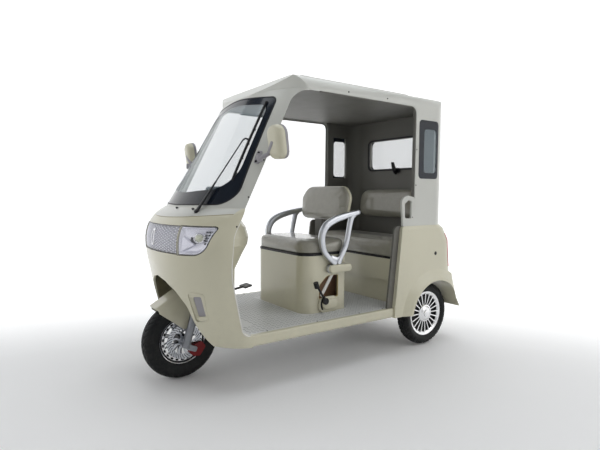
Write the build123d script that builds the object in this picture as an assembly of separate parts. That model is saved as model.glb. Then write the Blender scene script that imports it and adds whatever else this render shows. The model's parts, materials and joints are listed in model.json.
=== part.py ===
# Open-sided electric passenger tricycle with a roof: one steered front wheel, two rear wheels.
# Millimetres, +Z up, the front towards -Y, the vehicle's own left towards +X.
# Stations along Y are counted from the front axle, as on a vehicle drawing. put() moves every
# node back by ORIGIN_Y, so that the origin lies on the ground below the middle of the length.
from build123d import *
import math
import os

os.makedirs("parts", exist_ok=True)

# Wheels and running gear
TYRE_R = 208            # 3.00-10 tyre
TYRE_W = 90
RIM_R = 140             # rim flange
BEAD_R = 134
RIM_W = 62
WHEELBASE = 1558
TRACK_HALF = 354        # rear wheel middle plane
AXLE_Z = TYRE_R
AXLE_STUB_R = 12
RUN_FIT = 0.05          # radial clearance of a running fit
DISC_R = 98
DISC_X = 54
DISC_T = 4
CALIPER_X = (42, 70.4)
AXLE_TUBE_HALF = 290
HUB_HALF = 50
FRONT_SPOKES = 10
REAR_SPOKES = 20

# Steering
RAKE = 16               # degrees
STEER_Y = 20            # steering axis behind the front axle, at axle height
FORK_X = 92             # fork leg either side
FORK_SET = 19           # fork legs ahead of the steering axis
LEG_R = 21
STANCHION_R = 16
BRIDGE_S = 312          # distances along the steering axis from axle height
HEAD_S = (345, 475)
HEAD_R = 30
STEM_R = 18
BAR_S = 795
BAR_HALF = 260
BAR_R = 11
GRIP_R = 16
GUARD_W = 132
GUARD_T = 4

# Body shell
SIDE_X = 450            # half width of the body
NOSE_B = 240            # depth of the half ellipse in plan
SKIN = 14               # thickness of an outer moulding
LINER = 14              # thickness of an inner moulding
SILL_Z = 245
FLOOR_Z = 305
FLOOR_T = 20
COWL_Z = 930            # nose top, where the windscreen surround begins
HEADER_Z = 1545
HEADER_Y = 372
HEADER_B = 155          # depth of the half ellipse in plan at the header
SCREEN_BACK = 545       # rear end of the surround above the door
PILLAR_T = 24           # windscreen pillar, outer to inner face
DOOR_TOP_Z = 1541
SEAM_Z = 806            # lower rear body below, rear quarters above
DOOR_REAR_Y = 1351
SEAM_Y = 200            # the front shell ends at the sill here
SILL_END_Y = 1186
TAIL_FRONT = 1130
ROOF_SEAM_Z = 1500
ROOF_Z = 1640
PLATEAU_Z = 1668
PLATEAU_X = 250
ROOF_FALL = 33          # fall of the roof from the plateau to its side edge
ROOF_R = 130            # rear roof edge
REAR_Y = 1658           # outer face of the rear wall
REAR_CORNER_R = 110
TAIL_Y = 1860           # rear lip of the lower body
ARCH_R = 236            # rear wheel arch
FLARE = 26              # how far the flare's lip stands proud of the body
FLARE_W = 78            # width of the flare round the arch
ORIGIN_Y = (TAIL_Y - TYRE_R) / 2

# Nose and windscreen sections: height, foremost station, plan depth, half width
NOSE = [
    # z, y, b, a
    (SILL_Z, -22, NOSE_B, SIDE_X),
    (430, -89, NOSE_B, SIDE_X),
    (620, -129, NOSE_B, SIDE_X),
    (790, -140, NOSE_B, SIDE_X),
    (COWL_Z, -20, NOSE_B, SIDE_X),
]
SCREEN = [
    (COWL_Z, -20, NOSE_B, SIDE_X),
    (HEADER_Z, HEADER_Y, HEADER_B, SIDE_X - 2),
]
# Knee bulge of the inner panel: height, rear reach from the panel, half width
PANEL_Y = 96
KNEE_FRONT = 40         # straight sides of the bulge start inside the leg shield
KNEE = [
    (FLOOR_Z, 175, 290),
    (600, 184, 292),
    (680, 225, 325),
    (735, 258, 345),
    (775, 264, 350),
    (830, 240, 350),
    (905, 165, 340),
]
# Lower rear body: height, rear station, half width
TAIL = [
    (SILL_Z, TAIL_Y, SIDE_X + 12),
    (300, 1822, SIDE_X + 12),
    (462, 1768, SIDE_X + 11),
    (700, 1746, SIDE_X + 9),
    (784, 1694, SIDE_X + 8),
    (SEAM_Z, REAR_Y + 4, SIDE_X + 2),
]
# Door opening in side view: station, height, corner radius
DOOR = [
    (150, FLOOR_Z, 45),
    (86, 610, 400),
    (100, 800, 120),
    (468, DOOR_TOP_Z, 130),
    (1355, DOOR_TOP_Z, 45),
    (DOOR_REAR_Y, SEAM_Z, 6),
    (1243, SEAM_Z, 24),
    (SILL_END_Y, FLOOR_Z, 20),
]
# Front wheel arch in front view: half width, height
ARCH_FRONT = [(0, 572, 60), (82, 555, 60), (172, 513, 60), (240, 443, 60), (270, 350, 60), (303, 275, 60),
              (345, 200, 0)]
# Headlamp band and screen in front view: half width, height, corner radius
LAMP = [(246, 702, 4), (385, 708, 70), (424, 846, 12), (246, 846, 4)]
VENT = [(262, 510, 14), (340, 524, 14), (350, 386, 12), (278, 368, 12)]
GRILLE_X = 241
BAND_Z = (706, 843)
GLASS = [(404, 950, 75), (348, 1502, 45)]
GLASS_TOP_Z = 1535
GLASS_BOTTOM_Z = 942
GLASS_T = 5
SEAL = 0.5              # bedding gap round glass and lamps
BORDER = 26             # rebate on which glass lies

# Seats
BOX_X = 275
BOX_Y = (632, 942)
BOX_TOP_Z = 655
BOX_CORNER_R = 80
BOX_WALL = 10
LID_GAP = 0.3
CUSHION_H = 82
BACK_Y = 952
BACK_Z = (832, 1062)
BACK_HALF = 250
BACK_T = 62
BENCH_X = 385
BENCH_Y = (1240, 1530)
BENCH_TOP_Z = 603
BENCH_CUSHION_H = 125
BENCH_BACK_HALF = 300
BENCH_BACK_Z = (832, 1045)
BENCH_BACK_T = 84

# Windows in the rear body
QUARTER_Y = (1383, 1567)
QUARTER_Z = (1102, 1467)
QUARTER_R = 26
BACKLIGHT_X = 275
BACKLIGHT_Z = (1165, 1425)
BACKLIGHT_R = 45

# Chassis
RAIL_X = 200
RAIL = (40, 50)
DOWN_Y = (221, 251)     # down tube between front wheel and knee bulge


def put(node, shape):
    export_step(Pos(0, -ORIGIN_Y, 0) * shape, f"parts/{node}.step")


def outline(corners):
    """A flat outline of (u, v, radius) corners; a corner with no radius is sharp."""
    points = [(c[0], c[1]) for c in corners]
    radii = [c[2] if len(c) > 2 else 0 for c in corners]
    return make_face(FilletPolyline(*points, radius=radii, close=True))


def prism_x(corners, x0, x1):
    """Side view outline of (y, z, radius) corners, carried from x0 to x1."""
    return Pos(x0, 0, 0) * extrude(Plane.YZ * outline(corners), x1 - x0)


def prism_y(corners, y0, y1):
    """Front view outline of (x, z, radius) corners, carried from y0 to y1."""
    return Pos(0, y0, 0) * extrude(Plane.XZ * outline(corners), y0 - y1)


def prism_z(corners, z0, z1):
    """Plan outline of (x, y, radius) corners, carried from z0 to z1."""
    return Pos(0, 0, z0) * extrude(outline(corners), z1 - z0)


def mirrored(corners):
    """A half outline on +X, completed across X = 0."""
    return corners + [(-c[0], *c[1:]) for c in reversed(corners) if c[0] != 0]


def block(x0, x1, y0, y1, z0, z1):
    return Pos((x0 + x1) / 2, (y0 + y1) / 2, (z0 + z1) / 2) * Box(x1 - x0, y1 - y0, z1 - z0)


def rod(start, end, radius):
    """A round bar between two points."""
    path = Line(start, end)
    return extrude(Plane(path @ 0, z_dir=path % 0) * Circle(radius), path.length)


def both(shape):
    return shape + mirror(shape, Plane.YZ)


def on_axis(s, back=0, x=0):
    """Point at distance s up the steering axis from axle height, and set back from it."""
    rake = math.radians(RAKE)
    return (x, STEER_Y + s * math.sin(rake) + back * math.cos(rake),
            AXLE_Z + s * math.cos(rake) - back * math.sin(rake))


def along_axis(s0, s1, radius, x=0, back=0):
    return rod(on_axis(s0, back, x), on_axis(s1, back, x), radius)


# Body forms

def nose_section(z, y, b, a, back, inset=0):
    """Half ellipse facing forward, with straight sides back to a flat rear."""
    a, b, y = a - inset, b - inset, y + inset
    arc = EllipticalCenterArc((0, y + b), a, b, start_angle=180, arc_size=180)
    sides = Polyline((a, y + b), (a, back), (-a, back), (-a, y + b))
    return Pos(0, 0, z) * make_face([arc, *sides.edges()])


def nose_form(sections, back, inset=0, ruled=False):
    return loft([nose_section(*s, back, inset) for s in sections], ruled=ruled)


def knee_section(z, reach, a, inset=0):
    """Half ellipse facing rearward, with straight sides forward into the leg shield."""
    a, reach = a - inset, reach - inset
    arc = EllipticalCenterArc((0, PANEL_Y), a, reach, start_angle=0, arc_size=180)
    sides = Polyline((-a, PANEL_Y), (-a, KNEE_FRONT), (a, KNEE_FRONT), (a, PANEL_Y))
    return Pos(0, 0, z) * make_face([arc, *sides.edges()])


def knee_form(inset=0):
    return loft([knee_section(*s, inset) for s in KNEE], ruled=True)


def screen_form(inset=0):
    back = SCREEN_BACK + (20 if inset else 0)
    return nose_form(SCREEN, back, inset, ruled=True)


def tail_section(z, y, a, inset=0):
    a, y, r = a - inset, y - inset, REAR_CORNER_R - inset
    return Pos(0, 0, z) * outline([(-a, TAIL_FRONT), (a, TAIL_FRONT), (a, y, r), (-a, y, r)])


def cabin_column(inset, z0, z1):
    """Plan of the cabin behind the door line, as a closed column."""
    x, y, r = SIDE_X - inset, REAR_Y - inset, REAR_CORNER_R - inset
    return prism_z([(-x, TAIL_FRONT), (x, TAIL_FRONT), (x, y, r), (-x, y, r)], z0, z1)


def roof_form(inset):
    """Side, front and plan outlines of the roof crossed with each other, and its raised middle."""
    i = inset
    z_low = ROOF_SEAM_Z - 2 * i
    top, rear = ROOF_Z + 2 - i, REAR_Y + 2 - i
    side = prism_x([(HEADER_Y + i, z_low), (HEADER_Y + i, HEADER_Z, 30), (500, top, 150),
                    (rear, top, ROOF_R - i), (rear, z_low)], -500, 500)
    front = prism_y(mirrored([(SIDE_X - i, z_low), (SIDE_X - i, ROOF_Z - ROOF_FALL - i, 70 - i),
                              (PLATEAU_X, ROOF_Z - i, 150)]), 300, 1700)
    plan = extrude(nose_section(z_low, HEADER_Y, HEADER_B, SIDE_X, 700, i), 400)
    plan += cabin_column(i, z_low, 1750) + block(i - SIDE_X, SIDE_X - i, 600, 1250, z_low, 1750)
    long_r, edge_r = (0, 0) if inset else (120, 16)
    raised_side = prism_x([(470 + i, ROOF_Z - 60 - i), (620, PLATEAU_Z - i, long_r),
                           (1500, PLATEAU_Z - i, long_r / 2), (1560 - i, ROOF_Z - 60 - i)], -300, 300)
    raised_front = prism_y(mirrored([(PLATEAU_X + 24 - i, ROOF_Z - 60),
                                     (PLATEAU_X - i, PLATEAU_Z - i, edge_r)]), 400, 1600)
    return (side & front & plan) + (raised_side & raised_front)


def door_cut():
    return prism_x(DOOR, -SIDE_X - 100, SIDE_X + 100)


def front_arch():
    """Opening over the front wheel, seen from the front."""
    return prism_y(mirrored(ARCH_FRONT), -300, 240)


def lamp_prism(grow):
    (x0, z0, r0), (x1, z1, r1), (x2, z2, r2), (x3, z3, r3) = LAMP
    g = grow
    return prism_y([(x0 - g, z0 - g, r0), (x1, z1 - g, r1), (x2 + g, z2 + g, r2),
                    (x3 - g, z3 + g, r3)], -300, 75)


def grille_prism(grow):
    x, (z0, z1) = GRILLE_X + grow, BAND_Z
    return prism_y([(-x, z0 - grow), (x, z0 - grow), (x, z1 + grow), (-x, z1 + grow)], -300, 100)


def glass_prism(grow):
    (x0, z0, r0), (x1, z1, r1) = GLASS
    g = grow
    half = [(0, GLASS_BOTTOM_Z - g, 500), (x0 + g, z0 - g, r0 + g), (x1 + g, z1 + g, r1 + g),
            (0, GLASS_TOP_Z + g, 900)]
    return prism_y(half + [(-c[0], *c[1:]) for c in half[2:0:-1]], -200, 700)


# Front of the body

def make_front_shell():
    shell = nose_form(NOSE, 300) - Pos(0, 0, -SKIN) * nose_form(NOSE, 320, SKIN)
    keep = block(-600, 600, -400, 600, SILL_Z, COWL_Z + 10)
    shell = (shell & keep) - front_arch() - door_cut()
    shell -= block(-600, 600, SEAM_Y, 600, 0, FLOOR_Z)
    shell -= both(lamp_prism(SEAL)) + grille_prism(SEAL)
    recess = (nose_form(NOSE, 300) - nose_form(NOSE, 320, SKIN - 4)) & vent_prism()
    return shell - recess


def vent_prism():
    """Recess low in each side of the leg shield."""
    return both(prism_y(VENT, -300, 150))


def lamp_body(prism, sink, depth):
    """A slice of the nose surface, sunk and as deep as asked, inside a front view outline."""
    return (nose_form(NOSE, 260, sink) - nose_form(NOSE, 280, sink + depth)) & prism


def make_inner_panel():
    """Flange behind the leg shield's edge, with the knee bulge and dash standing out of it."""
    band = prism_x(DOOR, -SIDE_X - 10, SIDE_X + 10)
    bulge = knee_form()
    hollow = Pos(0, 0, -LINER) * knee_form(LINER)
    panel = Pos(0, 0, -SKIN) * nose_form(NOSE, 420, SKIN)
    panel &= Pos(0, -LINER, 0) * band
    panel &= block(-600, 600, 0, 400, FLOOR_Z, COWL_Z - SKIN)
    panel -= band - bulge
    return panel - hollow - along_axis(600, 850, STEM_R + 8)


def make_screen_surround():
    shell = screen_form() - screen_form(PILLAR_T)
    bed = screen_form() - screen_form(GLASS_T + SEAL)
    shell -= (bed & glass_prism(SEAL)) + glass_prism(-BORDER) + door_cut()
    return shell


def make_windscreen():
    return (screen_form() - screen_form(GLASS_T)) & glass_prism(0)


# Cabin

def make_roof_panel():
    roof = roof_form(0) - roof_form(SKIN) - door_cut()
    return roof - block(-600, 600, 300, SCREEN_BACK, 1400, HEADER_Z)


def make_roof_liner():
    sheet = roof_form(SKIN) & block(-600, 600, HEADER_Y + 30, 1700, HEADER_Z, HEADER_Z + LINER)
    return sheet - door_cut()


def quarter_prism(grow):
    (y0, y1), (z0, z1), r = QUARTER_Y, QUARTER_Z, QUARTER_R + grow
    g = grow
    return prism_x([(y0 - g, z0 - g, r), (y1 + g, z0 - g, r), (y1 + g, z1 + g, r), (y0 - g, z1 + g, r)],
                   -SIDE_X - 20, SIDE_X + 20)


def backlight_prism(grow):
    x, (z0, z1), r = BACKLIGHT_X + grow, BACKLIGHT_Z, BACKLIGHT_R + grow
    g = grow
    return prism_y([(-x, z0 - g, r), (x, z0 - g, r), (x, z1 + g, r), (-x, z1 + g, r)], 1500, 1700)


def rear_wall(outer, inner, z0, z1):
    """A U of the rear cabin wall between two insets, open at the door, with its windows cut."""
    wall = cabin_column(outer, z0, z1) - cabin_column(inner, z0 - 10, z1 + 10)
    return wall - door_cut() - block(-600, 600, 1000, DOOR_REAR_Y, 0, 2000)


def make_rear_upper():
    wall = rear_wall(0, SKIN, SEAM_Z, ROOF_SEAM_Z)
    seat = rear_wall(0, GLASS_T + SEAL, SEAM_Z, ROOF_SEAM_Z)
    wall -= seat & (quarter_prism(SEAL) + backlight_prism(SEAL))
    return wall - quarter_prism(-BORDER) - backlight_prism(-BORDER)


def make_rear_liner():
    wall = cabin_column(SKIN, BENCH_TOP_Z, HEADER_Z) - cabin_column(SKIN + LINER, 0, 2000)
    wall -= door_cut() + block(-600, 600, 1000, DOOR_REAR_Y, 0, 2000)
    strip = prism_x([(1142, FLOOR_Z), (1198, SEAM_Z, 30), (1400, SEAM_Z), (1600, BENCH_TOP_Z),
                     (1600, FLOOR_Z)], -600, 600)
    liner = wall + (strip & (cabin_column(SKIN, 0, 2000) - cabin_column(SKIN + LINER, -10, 2010)))
    liner -= quarter_prism(-BORDER) + backlight_prism(-BORDER)
    liner -= block(-600, 600, 1400, 1800, ROOF_SEAM_Z + 1, 1800) - roof_form(SKIN)
    return liner - arch_cylinder(ARCH_R + SKIN + 2)


def make_quarter_windows():
    pane = rear_wall(0, GLASS_T, SEAM_Z, ROOF_SEAM_Z) & quarter_prism(0)
    return pane


def make_rear_window():
    return rear_wall(0, GLASS_T, SEAM_Z, ROOF_SEAM_Z) & backlight_prism(0)


def arch_cylinder(radius, half=600):
    return Pos(-half, WHEELBASE, AXLE_Z) * extrude(Plane.YZ * Circle(radius), 2 * half)


def arch_flare():
    """Ring round the arch, proudest at its lip and running out into the body side."""
    x, lip = SIDE_X + 12 + FLARE, ARCH_R - 10
    section = Polyline((SIDE_X - 10, lip), (x, lip), (x - 3, ARCH_R + 18), (SIDE_X + 16, ARCH_R + FLARE_W - 16),
                       (SIDE_X + 9, ARCH_R + FLARE_W), (SIDE_X - 10, ARCH_R + FLARE_W), close=True)
    return Pos(0, WHEELBASE, AXLE_Z) * wheel_section(section)


def make_rear_lower_body():
    shell = loft([tail_section(*s) for s in TAIL], ruled=True)
    shell -= Pos(0, 0, -SKIN) * loft([tail_section(*s, SKIN) for s in TAIL], ruled=True)
    shell -= cabin_column(SKIN, SEAM_Z - 2 * SKIN, SEAM_Z + 10)
    shell -= block(-600, 600, 1000, SILL_END_Y, 0, FLOOR_Z)
    flare = both(arch_flare())
    lining = arch_cylinder(ARCH_R + 8) & (block(300, 446, 1200, TAIL_Y, 0, 900)
                                          + block(-446, -300, 1200, TAIL_Y, 0, 900))
    body = shell + (flare & loft([tail_section(z, y, a + FLARE) for z, y, a in TAIL], ruled=True))
    body += lining & loft([tail_section(*s) for s in TAIL], ruled=True)
    band = Pos(0, SKIN, 0) * door_cut() + block(-600, 600, 1000, SILL_END_Y + SKIN, 0, FLOOR_Z)
    jamb = band & block(SIDE_X - SKIN, 500, 1100, 1400, SILL_Z, SEAM_Z)
    body += both(jamb) & loft([tail_section(*s) for s in TAIL], ruled=True)
    body &= block(-600, 600, SILL_END_Y, 2000, SILL_Z, SEAM_Z + 1)
    return body - arch_cylinder(ARCH_R) - door_cut() - both(tail_lamp_prism(SEAL))


def make_sills():
    sill = prism_y([(SIDE_X - 24, FLOOR_Z), (SIDE_X - 24, SILL_Z), (SIDE_X, SILL_Z, 18),
                    (SIDE_X, FLOOR_Z, 8)], SEAM_Y, SILL_END_Y)
    return both(sill)


def make_floor():
    x = SIDE_X - 24
    floor = prism_z([(-x, 105), (x, 105), (x, 1290), (-x, 1290)], FLOOR_Z - FLOOR_T, FLOOR_Z)
    floor &= nose_form([(s[0], s[1], s[2], s[3]) for s in NOSE], 1400, SKIN)
    wheel_bay = extrude(knee_section(0, KNEE[0][1], KNEE[0][2], LINER), 400)
    return floor - wheel_bay


# Chassis and rear axle

def make_chassis():
    w, h = RAIL
    rail_z = FLOOR_Z - FLOOR_T
    rail = prism_x([(270, rail_z - h), (1310, rail_z - h), (1390, rail_z - h + 70),
                    (1770, rail_z - h + 70), (1770, rail_z + 70), (1370, rail_z + 70),
                    (1296, rail_z), (270, rail_z)], RAIL_X - w / 2, RAIL_X + w / 2)
    frame = both(rail)
    for y, z in ((290, rail_z), (620, rail_z), (940, rail_z), (1170, rail_z), (1745, rail_z + 70)):
        frame += block(-RAIL_X, RAIL_X, y - w / 2, y + w / 2, z - h, z)
    frame += block(-28, 28, DOWN_Y[0], DOWN_Y[1], rail_z - h, 640)
    frame += block(-28, 28, DOWN_Y[0], 300, rail_z - h, rail_z)
    low = on_axis(HEAD_S[0] + 45)
    high = on_axis(HEAD_S[1])
    frame += prism_x([(low[1], low[2]), (DOWN_Y[0] + 5, low[2] - 20), (DOWN_Y[0] + 5, 640),
                      (high[1], high[2])], -16, 16)
    frame += along_axis(*HEAD_S, HEAD_R)
    return frame - along_axis(HEAD_S[0] - 5, HEAD_S[1] + 5, STEM_R + RUN_FIT)


def make_rear_axle():
    tube = Rot(0, 90, 0) * Cylinder(30, 2 * AXLE_TUBE_HALF)
    case = Pos(-40, 0, 0) * Rot(0, 90, 0) * fillet(Cylinder(88, 150).edges(), 20)
    motor = Pos(75, 0, 0) * Rot(0, 90, 0) * Cylinder(70, 120)
    flanges = both(Pos(AXLE_TUBE_HALF + 12, 0, 0) * Rot(0, 90, 0) * Cylinder(85, 46))
    stubs = both(Pos(AXLE_TUBE_HALF + 40, 0, 0) * Rot(0, 90, 0) * Cylinder(AXLE_STUB_R, 80))
    return Pos(0, WHEELBASE, AXLE_Z) * (tube + case + motor + flanges + stubs)


def make_springs():
    """A two leaf pack each side, clamped on the axle and hung from the raised rails."""
    rail_low = FLOOR_Z - FLOOR_T - RAIL[1] + 70
    front, back = WHEELBASE - 162, WHEELBASE + 208
    leaf = prism_x([(front, rail_low - 12), (WHEELBASE, AXLE_Z + 30), (back, rail_low - 12),
                    (back, rail_low), (WHEELBASE, AXLE_Z + 42), (front, rail_low)],
                   RAIL_X - 25, RAIL_X + 25)
    pad = block(RAIL_X - 30, RAIL_X + 30, WHEELBASE - 55, WHEELBASE + 55, AXLE_Z + 30, AXLE_Z + 52)
    return both(leaf + pad)


# Wheels

def wheel_section(edges):
    """Half section in (across, radius) spun round the wheel's own axis along X."""
    return revolve(make_face(edges), Axis.X)


def make_tyre(x, y):
    """Turned from a plain outline: beads, sidewalls, shoulders and a crowned tread."""
    half, bead = TYRE_W / 2, RIM_W / 2 - 4
    side = [(bead, BEAD_R), (bead, RIM_R + 2), (half - 3, 154), (half, 170), (half - 5, 190), (24, 204)]
    profile = side + [(0, TYRE_R)] + [(-u, r) for u, r in reversed(side)]
    return Pos(x, y, AXLE_Z) * wheel_section(Polyline(*profile, close=True))


def rim_ring():
    half = RIM_W / 2
    profile = Polyline((-half, RIM_R), (-half, 122), (-12, 108), (12, 108), (half, 122), (half, RIM_R),
                       (half - 3.8, RIM_R), (half - 3.8, BEAD_R - 0.2), (3.8 - half, BEAD_R - 0.2),
                       (3.8 - half, RIM_R), close=True)
    return wheel_section(profile)


def make_rim(x, y, side, spokes, hub_r, hub_out):
    """Rim ring, thin blade spokes near the outer face and a domed hub; side is +1 for +X out."""
    ring = rim_ring()
    blade = Pos(18, 0, (hub_r + 118) / 2) * Box(10, 5, 118 - hub_r + 12)
    for i in range(spokes):
        ring += Rot(i * 360 / spokes, 0, 0) * blade
    hub = Rot(0, 90, 0) * Cylinder(hub_r, 52)
    dome = Pos(26, 0, 0) * Rot(0, 90, 0) * fillet(
        Cylinder(hub_r * 0.8, 2 * hub_out).edges(), hub_out * 0.8)
    wheel = ring + hub + dome
    wheel -= Pos(-20, 0, 0) * Rot(0, 90, 0) * Cylinder(AXLE_STUB_R + RUN_FIT, 80)
    if side < 0:
        wheel = mirror(wheel, Plane.YZ)
    return Pos(x, y, AXLE_Z) * wheel


def make_front_rim():
    ring = rim_ring()
    blade = Pos(0, 0, 72) * Box(12, 9, 84)
    for i in range(FRONT_SPOKES):
        ring += Rot(i * 360 / FRONT_SPOKES, 0, 0) * blade
    hub_in, hub_out = -HUB_HALF, DISC_X - DISC_T / 2
    hub = Pos((hub_in + hub_out) / 2, 0, 0) * Rot(0, 90, 0) * Cylinder(34, hub_out - hub_in)
    wheel = ring + hub - Rot(0, 90, 0) * Cylinder(AXLE_STUB_R + RUN_FIT, 300)
    return Pos(0, 0, AXLE_Z) * wheel


def make_brake_disc():
    disc = Cylinder(DISC_R, DISC_T) - Cylinder(34 + 26, DISC_T + 2)
    arms = [Rot(0, 0, i * 60) * Pos(45, 0, 0) * Box(40, 14, DISC_T) for i in range(6)]
    centre = Cylinder(32, DISC_T) - Cylinder(AXLE_STUB_R + RUN_FIT, DISC_T + 2)
    disc = disc + centre
    for arm in arms:
        disc += arm
    return Pos(DISC_X, 0, AXLE_Z) * Rot(0, 90, 0) * disc


# Steered parts

def make_fork():
    fork = along_axis(0, BRIDGE_S + 22, STANCHION_R, FORK_X, -FORK_SET)
    fork += along_axis(-30, 175, LEG_R, FORK_X, -FORK_SET)
    fork = both(fork)
    bridge = fillet(Box(2 * FORK_X + 48, 46, 22).edges().filter_by(Axis.Z), 18)
    middle = on_axis(BRIDGE_S, -FORK_SET / 2)
    fork += Pos(*middle) * Rot(-RAKE, 0, 0) * bridge
    fork += along_axis(BRIDGE_S, BAR_S - 18, STEM_R)
    fork += rod((-FORK_X, 0, AXLE_Z), (FORK_X, 0, AXLE_Z), AXLE_STUB_R)
    fork += rod((DISC_X + 3, 0, AXLE_Z), (FORK_X, 0, AXLE_Z), 17)
    fork += rod((-FORK_X, 0, AXLE_Z), (-HUB_HALF - 1, 0, AXLE_Z), 17)
    fork += prism_x([(0, 172, 8), (52, 150, 8), (62, 176, 8), (0, 204, 8)], CALIPER_X[1] + 0.3, FORK_X)
    for s in (100, 150):
        _, y, z = on_axis(s, -FORK_SET)
        fork += both(rod((GUARD_W / 2, y, z), (FORK_X, y, z), 10))
    return fork


def guard_form(half, drop, hem, crown_r):
    """Closed form under the mudguard's top line, with its two long top edges rounded."""
    top = [(-150, 403 - drop, 0), (-23, 480 - drop, 200), (45, 494 - drop, 110), (120, 462 - drop, 90),
           (170, 396 - drop, 0)]
    form = prism_x(top + hem, -half, half)
    crown = [e for e in form.edges()
             if abs(abs(e.center().X) - half) < 1 and e.center().Z > 396 - drop + 0.05 * e.center().Y
             and -149 < e.center().Y < 169]
    return fillet(crown, crown_r)


def make_mudguard():
    """Pressed channel over the tyre, its rounded top rising behind the tip, its sides cut low."""
    half = GUARD_W / 2
    hem = [(150, 352, 0), (46, 281, 20), (-6, 279, 20), (-147, 388, 0)]
    deep = [(170, 200, 0), (-150, 200, 0)]
    return guard_form(half, 0, hem, 24) - guard_form(half - GUARD_T, GUARD_T, deep, 20)


def make_caliper():
    body = prism_x([(34, 184, 8), (22, 148, 14), (46, 124, 14), (84, 118, 14), (118, 166, 14), (94, 198, 12),
                    (46, 187, 10)], *CALIPER_X)
    slot = Pos(DISC_X, 0, AXLE_Z) * Rot(0, 90, 0) * Cylinder(DISC_R + 5, DISC_T + 3)
    return body - slot


def make_handlebar():
    lift = on_axis(BAR_S, 25)
    bar = Pos(*lift) * Rot(0, 90, 0) * Cylinder(BAR_R, 2 * BAR_HALF - 10)
    grips = both(Pos(BAR_HALF - 60, lift[1], lift[2]) * Rot(0, 90, 0) * Cylinder(GRIP_R, 120))
    clamp = Pos(*on_axis(BAR_S - 4, 14)) * Rot(-RAKE, 0, 0) * Box(50, 66, 44)
    return bar + grips + (clamp - along_axis(BAR_S - 60, BAR_S - 18, STEM_R))


def make_handlebar_cover():
    y, z = on_axis(BAR_S + 30, 8)[1:]
    cowl = prism_x([(y - 62, z - 8, 10), (y + 40, z - 12, 12), (y + 30, z + 26, 14), (y - 50, z + 44, 14)],
                   -105, 105)
    return cowl - make_handlebar()


# Seats

def seat_plan(half, y0, y1, front_r, rear_r, z0, z1):
    return prism_z([(-half, y0, front_r), (half, y0, front_r), (half, y1, rear_r), (-half, y1, rear_r)],
                   z0, z1)


def make_seat_box():
    y0, y1 = BOX_Y
    box = seat_plan(BOX_X, y0, y1, BOX_CORNER_R, 12, FLOOR_Z, BOX_TOP_Z)
    box -= seat_plan(BOX_X - BOX_WALL, y0 + BOX_WALL, y1 - BOX_WALL, BOX_CORNER_R - BOX_WALL, 4,
                     FLOOR_Z + BOX_WALL, BOX_TOP_Z + 10)
    window = prism_x([(738, 385, 10), (885, 385, 10), (885, 520, 10), (800, 520, 50), (745, 470, 20)],
                     BOX_X - 30, BOX_X + 10)
    return box - window


def make_driver_cushion():
    y0, y1 = BOX_Y
    z = BOX_TOP_Z + LID_GAP
    base = seat_plan(BOX_X + 2, y0 - 2, y1, BOX_CORNER_R, 14, z, z + 12)
    pad = seat_plan(BOX_X - 2, y0, y1, BOX_CORNER_R, 30, z + 12, z + CUSHION_H)
    return base + pad


def make_driver_backrest():
    z0, z1 = BACK_Z
    pad = prism_y([(-BACK_HALF + 20, z0, 60), (BACK_HALF - 20, z0, 60), (BACK_HALF, z1 - 70, 60),
                   (BACK_HALF - 60, z1, 70), (60 - BACK_HALF, z1, 70), (-BACK_HALF, z1 - 70, 60)],
                  BACK_Y, BACK_Y + BACK_T)
    pad = Pos(0, BACK_Y, z0) * Rot(-8, 0, 0) * Pos(0, -BACK_Y, -z0) * pad
    return pad


def make_backrest_post():
    y = BOX_Y[1]
    return block(-35, 35, y + 0.3, y + 26, BOX_TOP_Z - 95, BACK_Z[0] + 8) - make_driver_backrest()


def armrest(side):
    """Cast loop beside the driver: clamp block low on the box, bar up to the backrest."""
    outer = prism_x([(800, 572, 12), (735, 660, 60), (722, 790, 70), (880, 880, 60), (1040, 908, 8),
                     (1040, 876, 12), (985, 850, 10), (950, 700, 50), (900, 572, 12)],
                    BOX_X + 8, BOX_X + 36)
    inner = prism_x([(822, 640, 16), (765, 690, 40), (758, 770, 50), (850, 828, 40), (945, 858, 10),
                     (925, 740, 30)], BOX_X, BOX_X + 50)
    clamp = prism_x([(785, 532, 14), (962, 532, 14), (962, 586, 14), (785, 586, 14)],
                    BOX_X + 0.3, BOX_X + 46)
    arm = (outer - inner) + clamp
    return arm if side > 0 else mirror(arm, Plane.YZ)


def make_brake_lever():
    knob = rod((BOX_X + 42, 684, 496), (BOX_X + 42, 696, 464), 15)
    stem = rod((BOX_X + 42, 690, 480), (BOX_X + 34, 760, 385), 6)
    pivot = Pos(BOX_X + 30, 768, 375) * Rot(0, 90, 0) * Cylinder(20, 12)
    return knob + stem + pivot


def make_brake_cover():
    cover = prism_x([(760, 330, 20), (915, 330, 20), (915, 405, 30), (780, 405, 30)],
                    BOX_X + 0.3, BOX_X + 24)
    return cover


def make_bench_base():
    y0 = BENCH_Y[0] + 8
    top = block(-BENCH_X, BENCH_X, y0, REAR_Y - SKIN - LINER, BENCH_TOP_Z - 14, BENCH_TOP_Z)
    kick = block(-BENCH_X, BENCH_X, y0, y0 + 14, 452, BENCH_TOP_Z)
    tub = block(-260, 260, 1290, 1600, 400, BENCH_TOP_Z)
    half = SIDE_X - SKIN - LINER - LID_GAP
    back = block(-half, half, 1276, 1290, FLOOR_Z, BENCH_TOP_Z - 2)
    base = top + kick + tub + back
    base -= block(-250, 250, 1304, 1590, 410, BENCH_TOP_Z + 10)
    return base


def make_bench_cushion():
    z = BENCH_TOP_Z + LID_GAP
    return seat_plan(BENCH_X - 12, BENCH_Y[0], BENCH_Y[1], 30, 12, z, z + BENCH_CUSHION_H)


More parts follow.
